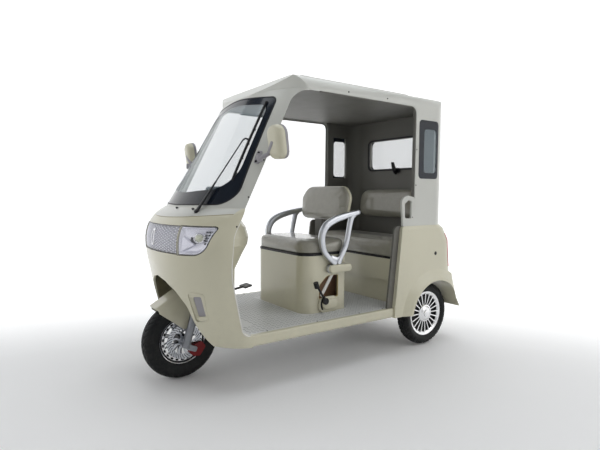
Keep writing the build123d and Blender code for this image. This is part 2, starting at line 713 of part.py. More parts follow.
def make_bench_backrest():
    (z0, z1), x = BENCH_BACK_Z, BENCH_BACK_HALF
    y1 = REAR_Y - SKIN - LINER
    return prism_y([(-x, z0, 60), (x, z0, 60), (x - 20, z1, 90), (20 - x, z1, 90)], y1 - BENCH_BACK_T, y1)


def make_grab_handles():
    outer = prism_x([(1252, SEAM_Z + 0.3), (1236, 974, 36), (1290, 996, 30), (1350, 984, 10),
                     (1350, SEAM_Z + 0.3)], SIDE_X - SKIN + 1, SIDE_X - SKIN + 15)
    inner = prism_x([(1268, 856, 12), (1264, 944, 16), (1300, 968, 12), (1326, 960, 8), (1326, 852, 10)],
                    400, 460)
    return both(outer - inner)


# Lamps, mirrors and small outer parts

def make_mirror(side):
    face = prism_y([(-50, -82, 46), (54, -82, 40), (58, 84, 50), (-54, 84, 50)], -30, 30)
    face = fillet(face.edges().group_by(Axis.Y)[0], 26)
    shell = Pos(528, 285, 1246) * Rot(8, 0, 6) * face
    foot = rod((417, 273, 1182), (440, 254, 1185), 20)
    arm = rod((434, 259, 1184), (500, 270, 1204), 9)
    part = (shell + foot + arm) - screen_form()
    return part if side > 0 else mirror(part, Plane.YZ)


def make_wiper():
    """Pivot on the cowl, arm standing off the screen, and the blade lying on the glass."""
    pivot = rod((253, 12, 897), (266, -14, 918), 12)
    arm = rod((263, -9, 913), (299, 227, 1272), 5)
    link = rod((299, 227, 1272), (324, 252, 1276), 6)
    blade = rod((348, 140, 1064), (300, 365, 1477), 7)
    return (pivot + arm + link + blade) - screen_form() - nose_form(NOSE, 300)


def make_tail_lamps():
    lamp = loft([tail_section(*s, 1) for s in TAIL], ruled=True)
    lamp -= loft([tail_section(*s, SKIN) for s in TAIL], ruled=True)
    return both(lamp & tail_lamp_prism(0))


def tail_lamp_prism(grow):
    x0, x1, z0, z1 = 372 - grow, 428 + grow, 520 - grow, 744 + grow
    return prism_y([(x0, z0, 18), (x1, z0, 18), (x1, z1, 18), (x0, z1, 18)], 1600, 1800)


def make_brake_pedal():
    pad = Pos(-120, 470, 430) * Rot(12, 0, 0) * Box(76, 50, 10)
    arm = rod((-120, 470, 428), (-120, 240, 396), 7)
    foot = rod((-120, 272, 400), (-120, 240, 396), 18)
    return pad + (arm + foot - knee_form())


def make_battery():
    return block(-200, 200, 690, 900, FLOOR_Z + BOX_WALL, 500)


NODES = {
    "front_shell": make_front_shell,
    "headlamp_left": lambda: lamp_body(lamp_prism(0), 1, 40),
    "headlamp_right": lambda: mirror(lamp_body(lamp_prism(0), 1, 40), Plane.YZ),
    "grille_lamp": lambda: lamp_body(grille_prism(0), 1, 30),
    "front_inner_panel": make_inner_panel,
    "windscreen_surround": make_screen_surround,
    "windscreen_glass": make_windscreen,
    "roof_panel": make_roof_panel,
    "roof_liner": make_roof_liner,
    "rear_upper": make_rear_upper,
    "rear_inner_liner": make_rear_liner,
    "quarter_windows": make_quarter_windows,
    "rear_window": make_rear_window,
    "rear_lower_body": make_rear_lower_body,
    "sills": make_sills,
    "floor_pan": make_floor,
    "chassis_frame": make_chassis,
    "rear_axle": make_rear_axle,
    "rear_springs": make_springs,
    "battery_block": make_battery,
    "front_tyre": lambda: make_tyre(0, 0),
    "front_rim": make_front_rim,
    "brake_disc": make_brake_disc,
    "rear_tyre_left": lambda: make_tyre(TRACK_HALF, WHEELBASE),
    "rear_tyre_right": lambda: make_tyre(-TRACK_HALF, WHEELBASE),
    "rear_rim_left": lambda: make_rim(TRACK_HALF, WHEELBASE, 1, REAR_SPOKES, 40, 18),
    "rear_rim_right": lambda: make_rim(-TRACK_HALF, WHEELBASE, -1, REAR_SPOKES, 40, 18),
    "fork": make_fork,
    "mudguard": make_mudguard,
    "brake_caliper": make_caliper,
    "handlebar": make_handlebar,
    "handlebar_cover": make_handlebar_cover,
    "driver_seat_box": make_seat_box,
    "driver_cushion": make_driver_cushion,
    "driver_backrest": make_driver_backrest,
    "backrest_post": make_backrest_post,
    "armrest_left": lambda: armrest(1),
    "armrest_right": lambda: armrest(-1),
    "parking_brake_lever": make_brake_lever,
    "parking_brake_cover": make_brake_cover,
    "bench_base": make_bench_base,
    "bench_cushion": make_bench_cushion,
    "bench_backrest": make_bench_backrest,
    "grab_handles": make_grab_handles,
    "mirror_left": lambda: make_mirror(1),
    "mirror_right": lambda: make_mirror(-1),
    "wiper": make_wiper,
    "tail_lamps": make_tail_lamps,
    "brake_pedal": make_brake_pedal,
}

for node, make in NODES.items():
    put(node, make())
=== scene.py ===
# %% [markdown]
# # Dressing a roofed electric tricycle
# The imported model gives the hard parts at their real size, each riding on its own body.
# This file adds what a flat solid can't show: finishes, stuffed seats, treaded tyres, spoked
# wheels, printed window borders, lamps with depth, and small fasteners.

# %% Load the frame and note its box
import json
import math
import bmesh
import bpy
import numpy as np
from mathutils import Matrix, Vector


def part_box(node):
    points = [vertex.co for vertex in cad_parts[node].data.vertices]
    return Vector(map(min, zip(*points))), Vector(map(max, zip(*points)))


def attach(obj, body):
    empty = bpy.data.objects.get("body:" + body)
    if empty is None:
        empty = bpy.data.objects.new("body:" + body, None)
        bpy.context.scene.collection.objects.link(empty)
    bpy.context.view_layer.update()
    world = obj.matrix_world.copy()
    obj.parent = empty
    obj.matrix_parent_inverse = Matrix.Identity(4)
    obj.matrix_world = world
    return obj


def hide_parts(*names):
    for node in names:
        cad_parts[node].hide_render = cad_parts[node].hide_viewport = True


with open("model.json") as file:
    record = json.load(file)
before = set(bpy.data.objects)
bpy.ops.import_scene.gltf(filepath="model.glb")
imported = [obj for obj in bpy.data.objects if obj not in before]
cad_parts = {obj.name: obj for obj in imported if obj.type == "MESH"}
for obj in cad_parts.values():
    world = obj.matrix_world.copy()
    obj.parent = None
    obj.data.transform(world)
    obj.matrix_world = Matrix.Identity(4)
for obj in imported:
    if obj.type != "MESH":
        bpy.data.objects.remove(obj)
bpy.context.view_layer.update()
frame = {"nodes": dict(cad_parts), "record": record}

# %% [markdown]
# ## Stations
# Lengths along the vehicle are counted from the front axle, as on a vehicle drawing, and the
# frame's own origin lies below the middle of the length. One number joins the two, and the
# mesh builder below takes it off every piece, so each shape can be written in stations.

# %% Place of the front axle in the frame
front_axle = (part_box("front_tyre")[0].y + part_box("front_tyre")[1].y) / 2
rear_axle = (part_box("rear_tyre_left")[0].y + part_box("rear_tyre_left")[1].y) / 2 - front_axle
tyre_r = (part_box("front_tyre")[1].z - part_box("front_tyre")[0].z) / 2
print("front axle at y", round(front_axle, 4), "wheelbase", round(rear_axle, 4), "tyre radius",
      round(tyre_r, 4))

# %% [markdown]
# ## Camera
# A camera is set by where it stands, where it looks and its lens. These numbers come from
# fitting the wheels, the ground contacts and the long straight edges of the body.

# %% Camera at the photograph's viewing angle
camera_place, camera_angles = (2.414, -1.737, 1.003), (54.733, 3.854, 0.339)
lens_mm, sensor_mm = 27.94, 36


def look(azimuth, pitch, roll):
    """Rotation matrix whose columns are right, up and back, from three angles in degrees."""
    a, e, r = np.radians([azimuth, pitch, roll])
    back = np.array([np.sin(a) * np.cos(e), -np.cos(a) * np.cos(e), np.sin(e)])
    right = np.cross(-back, [0, 0, 1.0])
    right /= np.linalg.norm(right)
    up = np.cross(back, right)
    right, up = right * np.cos(r) + up * np.sin(r), up * np.cos(r) - right * np.sin(r)
    return np.stack([right, up, back], axis=1)


camera = bpy.data.objects.new("camera", bpy.data.cameras.new("camera"))
camera.data.lens, camera.data.sensor_width = lens_mm, sensor_mm
camera.matrix_world = Matrix.LocRotScale(Vector(camera_place), Matrix(look(*camera_angles).tolist()), None)
bpy.context.scene.collection.objects.link(camera)
bpy.context.scene.camera = camera

# %% [markdown]
# ## Light
# A vehicle is lit in a studio by very large soft lights, because its curved panels mirror
# them as long calm highlights. One hangs overhead, one stands to the front, one to the side.

# %% Soft lights and a quiet sky
def soft_light(name, place, aim, size, watts, colour):
    data = bpy.data.lights.new(name, "AREA")
    data.shape, data.size, data.size_y, data.energy, data.color = "RECTANGLE", size[0], size[1], watts, colour
    lamp = bpy.data.objects.new(name, data)
    lamp.location = place
    lamp.rotation_euler = (Vector(aim) - Vector(place)).to_track_quat("-Z", "Y").to_euler()
    bpy.context.scene.collection.objects.link(lamp)


soft_light("overhead", (0.0, 0.2, 4.4), (0, 0, 0.6), (5.0, 5.0), 105, (0.94, 0.97, 1.0))
soft_light("front", (0.6, -4.8, 2.6), (0, 0, 0.7), (3.5, 2.5), 14, (1.0, 0.99, 0.97))
soft_light("side", (4.6, 2.8, 2.4), (0, 0.3, 0.6), (3.0, 2.4), 30, (1.0, 0.98, 0.94))
bpy.context.scene.view_settings.view_transform = "Standard"
world = bpy.data.worlds.new("sky")
world.use_nodes = True
world.node_tree.nodes["Background"].inputs["Color"].default_value = (0.95, 0.97, 1.0, 1)
world.node_tree.nodes["Background"].inputs["Strength"].default_value = 0.1
bpy.context.scene.world = world

# %% [markdown]
# ## Mesh builder
# Every new piece is a grid of points worked out as whole arrays. The faces of a grid follow
# from counting: each cell joins a point, its neighbour along, and the two in the next row.

# %% Grids of points made into pieces
def grid_faces(rows, columns, loop_rows=False, loop_columns=False):
    """Quads of a rows by columns grid; a looped direction joins its last line to its first."""
    i = np.arange(rows if loop_rows else rows - 1)
    j = np.arange(columns if loop_columns else columns - 1)
    i, j = [g.ravel() for g in np.meshgrid(i, j, indexing="ij")]
    i1, j1 = (i + 1) % rows, (j + 1) % columns
    return np.stack([i * columns + j, i1 * columns + j, i1 * columns + j1, i * columns + j1], axis=1)


def piece(name, shape, material, body="root", replaces=None, crease=35):
    """A mesh object at the origin, from a shape: points in stations and a list of face arrays.
    Faces are turned outwards, and edges sharper than the crease angle shaded sharp. It rides on
    its body and may stand in for a node of the frame; with no body it is the studio's own."""
    points, faces = shape
    points = np.asarray(points, float).reshape(-1, 3) + [0, front_axle, 0]
    loops = np.concatenate([f.ravel() for f in faces])
    sizes = np.concatenate([np.full(len(f), f.shape[1]) for f in faces])
    mesh = bpy.data.meshes.new(name)
    mesh.vertices.add(len(points))
    mesh.vertices.foreach_set("co", points.astype(np.float32).ravel())
    mesh.loops.add(len(loops))
    mesh.loops.foreach_set("vertex_index", loops.astype(np.int32))
    mesh.polygons.add(len(sizes))
    mesh.polygons.foreach_set("loop_start", np.concatenate([[0], np.cumsum(sizes)[:-1]]).astype(np.int32))
    mesh.polygons.foreach_set("use_smooth", np.full(len(sizes), True))
    mesh.update(calc_edges=True)
    mesh.validate()
    made = bpy.data.objects.new(name, mesh)
    bpy.context.scene.collection.objects.link(made)
    mesh.materials.append(material)
    if body is None:
        return made
    face_outwards(made)
    mesh.set_sharp_from_angle(angle=math.radians(crease))
    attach(made, body)
    if replaces:
        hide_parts(replaces)
    return made


def face_outwards(made):
    """Merges doubled points and recalculates the faces' directions, so that all point out."""
    work = bmesh.new()
    work.from_mesh(made.data)
    bmesh.ops.remove_doubles(work, verts=work.verts, dist=1e-6)
    bmesh.ops.recalc_face_normals(work, faces=work.faces)
    work.to_mesh(made.data)
    work.free()


# %% [markdown]
# ## Shader nodes
# A material is a small tree of nodes. One function adds a node, sets its sockets and gives its
# output, so a formula can be written as nested calls.

# %% One function for every node
def feed(tree, socket, value):
    """Sets a socket to a number, a vector or a colour, or links another node's output to it."""
    if isinstance(value, (int, float)):
        socket.default_value = value
    elif isinstance(value, tuple):
        socket.default_value = value if socket.type == "VECTOR" else (*value, 1)
    else:
        tree.links.new(value, socket)


def add_node(tree, kind, inputs, output, **settings):
    node = tree.nodes.new("ShaderNode" + kind)
    for setting, value in settings.items():
        setattr(node, setting, value)
    for socket, value in inputs.items():
        feed(tree, node.inputs[socket], value)
    return node.outputs[output]


def object_place(tree):
    return add_node(tree, "TexCoord", {}, "Object")


def noise(tree, place, scale, detail=3.0, rough=0.5):
    return add_node(tree, "TexNoise", {"Vector": place, "Scale": scale, "Detail": detail, "Roughness": rough},
                    "Fac")


def maths(tree, how, *values):
    return add_node(tree, "Math", dict(enumerate(values)), 0, operation=how)


def spread(tree, value, low, high, to_low=0.0, to_high=1.0, curve="LINEAR"):
    """Maps a value from one range to another, held at both ends."""
    sockets = {"Value": value, "From Min": low, "From Max": high, "To Min": to_low, "To Max": to_high}
    return add_node(tree, "MapRange", sockets, "Result", interpolation_type=curve)


def bump(tree, height, strength, distance):
    return add_node(tree, "Bump", {"Height": height, "Strength": strength, "Distance": distance}, "Normal")


# %% [markdown]
# ## Studio floor
# A floor that curves up into a wall all round leaves no horizon line. It is one profile,
# flat, then a quarter ellipse, then upright, turned about the vertical axis. Its paper is lit
# from within towards the wall behind the vehicle, so the background is white in a calm light.

# %% Floor turned about the vertical
glow_way, glow_share = (-1.05, 0.75, 0), 0.8
glow_from, glow_to, glow_most = 0.6, 3.6, 0.50
flat_reach, curve_size, wall_top = 5.0, 4.0, 8.0
paper = bpy.data.materials.new("studio_floor")
paper.use_nodes = True
tree = paper.node_tree
shader = tree.nodes["Principled BSDF"]
place = object_place(tree)
length = add_node(tree, "VectorMath", {0: place}, "Value", operation="LENGTH")
behind = add_node(tree, "VectorMath", {0: place, 1: glow_way}, "Value", operation="DOT_PRODUCT")
glow = spread(tree, maths(tree, "MULTIPLY_ADD", length, glow_share, behind), glow_from, glow_to, 0.0,
              glow_most, "SMOOTHSTEP")
for socket, value in (("Base Color", (0.93, 0.93, 0.93)), ("Roughness", 0.75), ("Emission Strength", 1.0),
                      ("Emission Color", glow)):
    feed(tree, shader.inputs[socket], value)

turn = np.linspace(0, 2 * np.pi, 97)[:-1]
rise = np.linspace(0, np.pi / 2, 25)
reach = np.concatenate([[0.001, 3.0, flat_reach], flat_reach + curve_size * np.sin(rise),
                        [flat_reach + curve_size]])
height = np.concatenate([[0, 0, 0], curve_size - curve_size * np.cos(rise), [wall_top]])
floor_points = np.stack([np.outer(np.cos(turn), reach), np.outer(np.sin(turn), reach),
                         np.tile(height, (len(turn), 1))], axis=2)
floor_faces = [grid_faces(len(turn), len(reach), loop_rows=True)[:, ::-1]]
piece("studio_floor", (floor_points, floor_faces), paper, body=None)

# %% [markdown]
# ## Finishes
# A moulded or painted panel is never one flat colour: it wavers a little, carries fine dust
# low down where the road throws it, and has a faint ripple that breaks its highlights. The
# group below does that for any material. A second group gives a pressed grain to vinyl, and
# a third the fine smears and grain of cast and machined metal.

# %% Shared node groups
def new_group(name, inputs, outputs):
    """An empty shader group with named sockets; inputs carry a kind and a starting value."""
    group = bpy.data.node_groups.new(name, "ShaderNodeTree")
    for label, kind, value in inputs:
        socket = group.interface.new_socket(label, in_out="INPUT", socket_type=kind)
        socket.default_value = value
    for label, kind in outputs:
        group.interface.new_socket(label, in_out="OUTPUT", socket_type=kind)
    return group, group.nodes.new("NodeGroupInput"), group.nodes.new("NodeGroupOutput")


def give(tree, gout, colour, tone, roughness, normal):
    """A group's three outputs: its colour made lighter or darker by a tone, and the other two."""
    if tone is not None:
        colour = add_node(tree, "VectorMath", {0: colour, "Scale": tone}, 0, operation="SCALE")
    for label, value in (("Colour", colour), ("Roughness", roughness), ("Normal", normal)):
        feed(tree, gout.inputs[label], value)


FLOAT, COLOUR, VECTOR = "NodeSocketFloat", "NodeSocketColor", "NodeSocketVector"
OUTPUTS = [("Colour", COLOUR), ("Roughness", FLOAT), ("Normal", VECTOR)]
dust_low, dust_high, dust_colour = 0.22, 0.62, (0.34, 0.31, 0.26)

panel, gin, gout = new_group("moulded_panel", [
    ("Colour", COLOUR, (0.6, 0.6, 0.6, 1)), ("Dust", FLOAT, 0.2), ("Roughness", FLOAT, 0.3),
    ("Ripple", FLOAT, 0.1)], OUTPUTS)
place = object_place(panel)
near_road = spread(panel, add_node(panel, "SeparateXYZ", {0: place}, 2), dust_low, dust_high, 1.0, 0.0)
specks = spread(panel, noise(panel, place, 34.0, 5.0, 0.7), 0.42, 0.7)
dust = maths(panel, "MULTIPLY", maths(panel, "MULTIPLY", near_road, specks), gin.outputs["Dust"])
tone = spread(panel, noise(panel, place, 2.2, 2.0), 0.3, 0.7, 0.955, 1.03)
clean = add_node(panel, "VectorMath", {0: gin.outputs["Colour"], "Scale": tone}, 0, operation="SCALE")
dusty = add_node(panel, "Mix", {"Factor": dust, 6: clean, 7: dust_colour}, 2, data_type="RGBA")
worn = maths(panel, "MULTIPLY_ADD", spread(panel, noise(panel, place, 9.0, 4.0), 0.35, 0.75), 0.06,
             gin.outputs["Roughness"])
give(panel, gout, dusty, None, maths(panel, "MULTIPLY_ADD", dust, 0.4, worn),
     bump(panel, noise(panel, place, 260.0, 2.0), gin.outputs["Ripple"], 0.0006))

grain, gin, gout = new_group("pressed_grain", [
    ("Colour", COLOUR, (0.4, 0.4, 0.4, 1)), ("Scale", FLOAT, 620.0), ("Depth", FLOAT, 0.35),
    ("Roughness", FLOAT, 0.5)], OUTPUTS)
place = object_place(grain)
cells = add_node(grain, "TexVoronoi", {"Vector": place, "Scale": gin.outputs["Scale"]}, "Distance",
                 feature="DISTANCE_TO_EDGE")
pebbles = spread(grain, cells, 0.0, 0.18)
creases = noise(grain, place, 26.0, 5.0, 0.6)
relief = maths(grain, "MULTIPLY_ADD", creases, 1.4, maths(grain, "MULTIPLY", pebbles, 0.55))
# The tone follows the relief: darker in the grooves between pebbles and down the low creases, lighter on the
# crease tops. This is painted shade and painted light over the grain.
tone = maths(grain, "MULTIPLY", spread(grain, pebbles, 0.0, 1.0, 0.86, 1.0),
             spread(grain, creases, 0.3, 0.7, 0.93, 1.05))
give(grain, gout, gin.outputs["Colour"], tone, maths(grain, "MULTIPLY_ADD", creases, 0.16,
                                                     gin.outputs["Roughness"]),
     bump(grain, relief, gin.outputs["Depth"], 0.0008))

metal, gin, gout = new_group("worked_metal", [
    ("Colour", COLOUR, (0.7, 0.7, 0.7, 1)), ("Roughness", FLOAT, 0.25), ("Scale", FLOAT, 180.0),
    ("Depth", FLOAT, 0.15)], OUTPUTS)
place = object_place(metal)
smears = noise(metal, place, 14.0, 3.0)
give(metal, gout, gin.outputs["Colour"], spread(metal, smears, 0.3, 0.7, 0.9, 1.04),
     maths(metal, "MULTIPLY_ADD", smears, 0.14, gin.outputs["Roughness"]),
     bump(metal, noise(metal, place, gin.outputs["Scale"], 4.0, 0.65), gin.outputs["Depth"], 0.0004))
print("groups", [g.name for g in bpy.data.node_groups])


# %% Materials from the groups
def finish(name, group, colour, rough, metallic=0.0, coat=0.0, sheen=0.0, alpha=1.0, specular=0.5, **values):
    """A Principled material whose colour, roughness and normal come from a shared group."""
    made = bpy.data.materials.new(name)
    made.use_nodes = True
    tree = made.node_tree
    shader = tree.nodes["Principled BSDF"]
    node = tree.nodes.new("ShaderNodeGroup")
    node.node_tree = group
    for label, value in {"colour": colour, "roughness": rough, **values}.items():
        feed(tree, node.inputs[label.capitalize()], value)
    for socket, value in (("Metallic", metallic), ("Coat Weight", coat), ("Coat Roughness", 0.06),
                          ("Sheen Weight", sheen), ("Alpha", alpha), ("Specular IOR Level", specular),
                          ("Base Color", node.outputs["Colour"]), ("Roughness", node.outputs["Roughness"]),
                          ("Normal", node.outputs["Normal"])):
        feed(tree, shader.inputs[socket], value)
    return made


def moulded(name, colour, rough, dust, ripple, **values):
    return finish(name, panel, colour, rough, dust=dust, ripple=ripple, **values)


# Colour, roughness, dust and ripple of moulded, painted, rubber and glass surfaces.
cream = moulded("cream_gloss", (0.585, 0.56, 0.425), 0.3, 0.14, 0.05, coat=0.5)
pearl = moulded("pearl_shell", (0.54, 0.545, 0.505), 0.32, 0.05, 0.05, coat=0.4)
lining = moulded("cabin_lining", (0.13, 0.127, 0.112), 0.5, 0.3, 0.35)
white_floor = moulded("floor_grip", (0.62, 0.63, 0.63), 0.38, 0.0, 0.2)
enamel = moulded("chassis_enamel", (0.025, 0.025, 0.028), 0.4, 0.6, 0.3)
trim = moulded("black_trim", (0.010, 0.010, 0.012), 0.42, 0.0, 0.3, specular=0.3)
battery_case = moulded("battery_case", (0.12, 0.12, 0.135), 0.5, 0.4, 0.3)
lilac = moulded("lilac_plastic", (0.30, 0.29, 0.31), 0.35, 0.0, 0.1)
rubber = moulded("tyre_rubber", (0.006, 0.007, 0.008), 0.5, 0.04, 0.5, specular=0.25)
glass = moulded("window_glass", (0.36, 0.45, 0.50), 0.02, 0.0, 0.0, alpha=0.26, specular=0.9)
lens = moulded("lamp_lens", (0.90, 0.91, 0.96), 0.04, 0.0, 0.02, alpha=0.12, coat=0.3)
red_lens = moulded("red_lens", (0.62, 0.02, 0.04), 0.12, 0.0, 0.1, coat=0.8)
lamp_white = moulded("lamp_bowl", (0.82, 0.82, 0.92), 0.16, 0.0, 0.1, metallic=0.25, coat=0.6)
projector_glass = moulded("projector_glass", (0.56, 0.58, 0.44), 0.05, 0.0, 0.0, coat=1.0)
joint_brown = moulded("cowl_joint", (0.30, 0.24, 0.12), 0.4, 0.0, 0.1)
bead_white = moulded("pale_bead", (0.74, 0.73, 0.69), 0.3, 0.1, 0.1, coat=0.3)
board_edge = moulded("yellowed_edge", (0.55, 0.44, 0.20), 0.5, 0.1, 0.2)
band_lilac = moulded("band_lilac", (0.50, 0.50, 0.56), 0.3, 0.0, 0.1)
lozenge_grey = moulded("lozenge_grey", (0.34, 0.35, 0.355), 0.4, 0.0, 0.2)
frit = moulded("printed_border", (0.010, 0.014, 0.022), 0.12, 0.0, 0.02, coat=0.15, specular=0.3)
# Colour, roughness and depth of grained and metal surfaces.
vinyl = finish("taupe_vinyl", grain, (0.30, 0.288, 0.235), 0.3, depth=0.3, coat=1.0, sheen=0.15)
brown_board = finish("brown_board", grain, (0.26, 0.15, 0.085), 0.6, depth=0.3, scale=220.0)
grip_rubber = finish("grip_rubber", grain, (0.022, 0.022, 0.024), 0.62, depth=0.4, scale=480.0)
satin = finish("satin_casting", metal, (0.62, 0.64, 0.68), 0.24, depth=0.12, metallic=1.0)
ground = finish("ground_steel", metal, (0.27, 0.28, 0.30), 0.3, depth=0.2, metallic=1.0)
bright = finish("bright_wheel", metal, (0.86, 0.86, 0.87), 0.12, depth=0.05, metallic=1.0)
red_metal = finish("red_caliper", metal, (0.20, 0.002, 0.004), 0.25, depth=0.1, coat=0.15, specular=0.25)
mesh_silver = finish("band_mesh", metal, (0.80, 0.80, 0.86), 0.3, depth=0.1, metallic=0.5)
silvered = finish("mirror_glass", metal, (0.80, 0.82, 0.84), 0.02, depth=0.0, metallic=1.0)

# %% [markdown]
# ## Finishes on the hard parts
# The frame's nodes keep their shape. Each gets the finish of its slot, so a table of names
# is all this step needs.

# %% Assign materials to the frame's nodes
slot_finish = {"shell_cream": cream, "shell_white": pearl, "liner_grey": lining, "floor_grey": white_floor,
               "steel_black": enamel, "vinyl_taupe": vinyl, "aluminium_satin": satin, "rim_silver": bright,
               "tyre_black": rubber, "trim_black": trim, "glass_clear": glass, "lamp_clear": lens,
               "lamp_red": red_lens, "caliper_red": red_metal, "steel_bright": ground,
               "battery_grey": battery_case}
for part in frame["record"]["subparts"]:
    mesh = frame["nodes"][part["node"]].data
    mesh.materials.clear()
    mesh.materials.append(slot_finish[part["material_slot"]])

# %% [markdown]
# ## Three ways to draw a form
# Nearly every small part here is one of three things: an outline with rounded corners stacked in
# layers, a section carried along a path, or a profile turned about an axle. Each is a surface
# of two parameters, so whole arrays of points come out of one formula.

# %% Outlines and smooth curves
def round_outline(corners, arc=7, side=1):
    """Closed outline from (u, v, radius): each corner is an arc tangent to both sides, found by
    turning its first spoke through the corner's angle, and each side is split evenly."""
    corner, radius = np.array([c[:2] for c in corners], float), np.array([c[2] for c in corners], float)
    into = corner - np.roll(corner, 1, axis=0)
    into /= np.linalg.norm(into, axis=1)[:, None]
    out = np.roll(into, -1, axis=0)
    turn = np.arctan2(into[:, 0] * out[:, 1] - into[:, 1] * out[:, 0], (into * out).sum(axis=1))
    start = corner - into * (radius * np.tan(np.abs(turn) / 2))[:, None]
    normal = np.stack([-into[:, 1], into[:, 0]], axis=1) * np.sign(turn)[:, None]
    centre = start + normal * radius[:, None]
    spoke = (start - centre)[:, None]
    angle = turn[:, None] * np.linspace(0, 1, arc)
    cos, sin = np.cos(angle)[..., None], np.sin(angle)[..., None]
    arcs = centre[:, None] + spoke * cos + np.stack([-spoke[..., 1], spoke[..., 0]], axis=2) * sin
    share = np.linspace(0, 1, side + 2)[1:-1, None]
    sides = arcs[:, -1:] + (np.roll(arcs[:, :1], -1, axis=0) - arcs[:, -1:]) * share
    return np.concatenate([arcs, sides], axis=1).reshape(-1, 2)


def rounded_box(u0, u1, v0, v1, radii, arc=7, side=1):
    """Outline of a rectangle from its lower left corner, with one radius or four."""
    r = np.broadcast_to(radii, 4)
    return round_outline([(u0, v0, r[0]), (u1, v0, r[1]), (u1, v1, r[2]), (u0, v1, r[3])], arc, side)


def curve_through(points, count, closed=False):
    """Smooth curve through points: each span is the cubic whose end slopes are half the step
    between the points on either side."""
    p = np.asarray(points, float)
    ends = (p[-1:], p[:2]) if closed else (2 * p[:1] - p[1:2], 2 * p[-1:] - p[-2:-1])
    q = np.concatenate([ends[0], p, ends[1]])
    spans = len(p) if closed else len(p) - 1
    t = np.linspace(0, spans, count, endpoint=not closed)
    k = np.minimum(t.astype(int), spans - 1)
    u = (t - k)[:, None]
    a, b, c, d = q[k], q[k + 1], q[k + 2], q[k + 3]
    return 0.5 * (2 * b + (c - a) * u + (2 * a - 5 * b + 4 * c - d) * u**2 + (3 * b - a - 3 * c + d) * u**3)


def oval(a, b, count=16, power=2.0):
    """Superellipse: |u/a|^power + |v/b|^power = 1, square-shouldered where power is high."""
    t = np.linspace(0, 2 * np.pi, count, endpoint=False)
    return np.stack([size * np.sign(way) * np.abs(way)**(2 / power)
                     for size, way in ((a, np.cos(t)), (b, np.sin(t)))], axis=1)


# %% Sweeps, turned forms and layered plates
def sweep(path, section, up=(1, 0, 0), closed=False, size=None):
    """Carries a section along a path: u runs across path and up, v along up squared to the path."""
    path = np.asarray(path, float)
    ahead = np.roll(path, -1, axis=0) - np.roll(path, 1, axis=0)
    if not closed:
        ahead[0], ahead[-1] = path[1] - path[0], path[-1] - path[-2]
    ahead /= np.linalg.norm(ahead, axis=1)[:, None]
    across = np.cross(ahead, up)
    across /= np.linalg.norm(across, axis=1)[:, None]
    lift = np.cross(across, ahead)
    size = np.ones(len(path)) if size is None else np.asarray(size, float)
    points = path[:, None] + size[:, None, None] * (section[None, :, :1] * across[:, None]
                                                    + section[None, :, 1:] * lift[:, None])
    faces = [grid_faces(len(path), len(section), closed, True)]
    if not closed:
        ring = np.arange(len(section))
        faces += [ring[None], ring[None, ::-1] + (len(path) - 1) * len(section)]
    return points, faces


def turned(profile, sides=48, closed=False):
    """Profile of (along X, radius) turned about the X axis."""
    profile = np.asarray(profile, float)
    t = np.linspace(0, 2 * np.pi, sides, endpoint=False)[:, None]
    points = np.stack([np.tile(profile[:, 0], (sides, 1)), profile[:, 1] * np.cos(t),
                       profile[:, 1] * np.sin(t)], axis=2)
    return points, [grid_faces(sides, len(profile), True, closed)]


def inset_loop(loop, by):
    """An anticlockwise outline moved inwards along its own normals."""
    ahead = np.roll(loop, -1, axis=0) - np.roll(loop, 1, axis=0)
    ahead /= np.linalg.norm(ahead, axis=1)[:, None] + 1e-12
    return loop + by * np.stack([-ahead[:, 1], ahead[:, 0]], axis=1)


def layered(loop, layers, place):
    """An outline repeated at several (inset, height) layers and closed at both ends; place turns
    arrays of u, v and height into points."""
    rings = [inset_loop(loop, inset) for inset, _ in layers]
    points = np.stack([place(r[:, 0], r[:, 1], np.full(len(r), h)) for r, (_, h) in zip(rings, layers)])
    ring = np.arange(len(loop))
    return points, [grid_faces(len(layers), len(loop), False, True), ring[None, ::-1],
                    ring[None] + (len(layers) - 1) * len(loop)]


def band(outer, inner, place, proud, sunk, columns=6):
    """A strip between two matching outlines, lying on a surface and let a little into it."""
    share = np.linspace(0, 1, columns)
    share = np.concatenate([share, share[::-1]])[:, None, None]
    loops = outer + (inner - outer) * share
    height = np.repeat([proud, sunk], columns)[:, None] * np.ones(len(outer))
    points = place(loops[..., 0], loops[..., 1], height)
    return points, [grid_faces(2 * columns, len(outer), True, True)]


# %% Copies of a shape
def moved(shape, place=(0, 0, 0), side=1):
    """The shape set down at a place, turned over first where it is for the right side."""
    return np.asarray(shape[0], float).reshape(-1, 3) * [side, 1, 1] + place, shape[1]


def mirror_x(shape):
    """The same shape on the other side; its faces are turned outwards again when it is made."""
    return moved(shape, side=-1)


def joined(shapes):
    """Several shapes as one, each one's faces counted on from the last."""
    points, faces, base = [], [], 0
    for shape_points, shape_faces in shapes:
        points.append(np.asarray(shape_points, float).reshape(-1, 3))
        faces += [f + base for f in shape_faces]
        base += len(points[-1])
    return np.concatenate(points), faces


def both(*shapes):
    """Every shape on the left and on the right, as one."""
    return joined([one for shape in shapes for one in (shape, mirror_x(shape))])


def counted_on(faces, points_each, copies):
    shift = np.arange(copies) * points_each
    return [(f[None] + shift[:, None, None]).reshape(-1, f.shape[1]) for f in faces]


def repeated(shape, places):
    """One small shape set down at every place (a row of x, y, z each)."""
    points = np.asarray(shape[0], float).reshape(-1, 3)
    return (places[:, None] + points[None]).reshape(-1, 3), counted_on(shape[1], len(points), len(places))


def round_axle(shape, count):
    """A shape drawn above the X axis, copied evenly round it."""
    flat = np.asarray(shape[0], float).reshape(-1, 3)
    turn = np.linspace(0, 2 * np.pi, count, endpoint=False)[:, None]
    ring = np.stack([np.tile(flat[:, 0], (count, 1)), flat[:, 1] * np.cos(turn) - flat[:, 2] * np.sin(turn),
                     flat[:, 1] * np.sin(turn) + flat[:, 2] * np.cos(turn)], axis=2)
    return ring, counted_on(shape[1], len(flat), count)


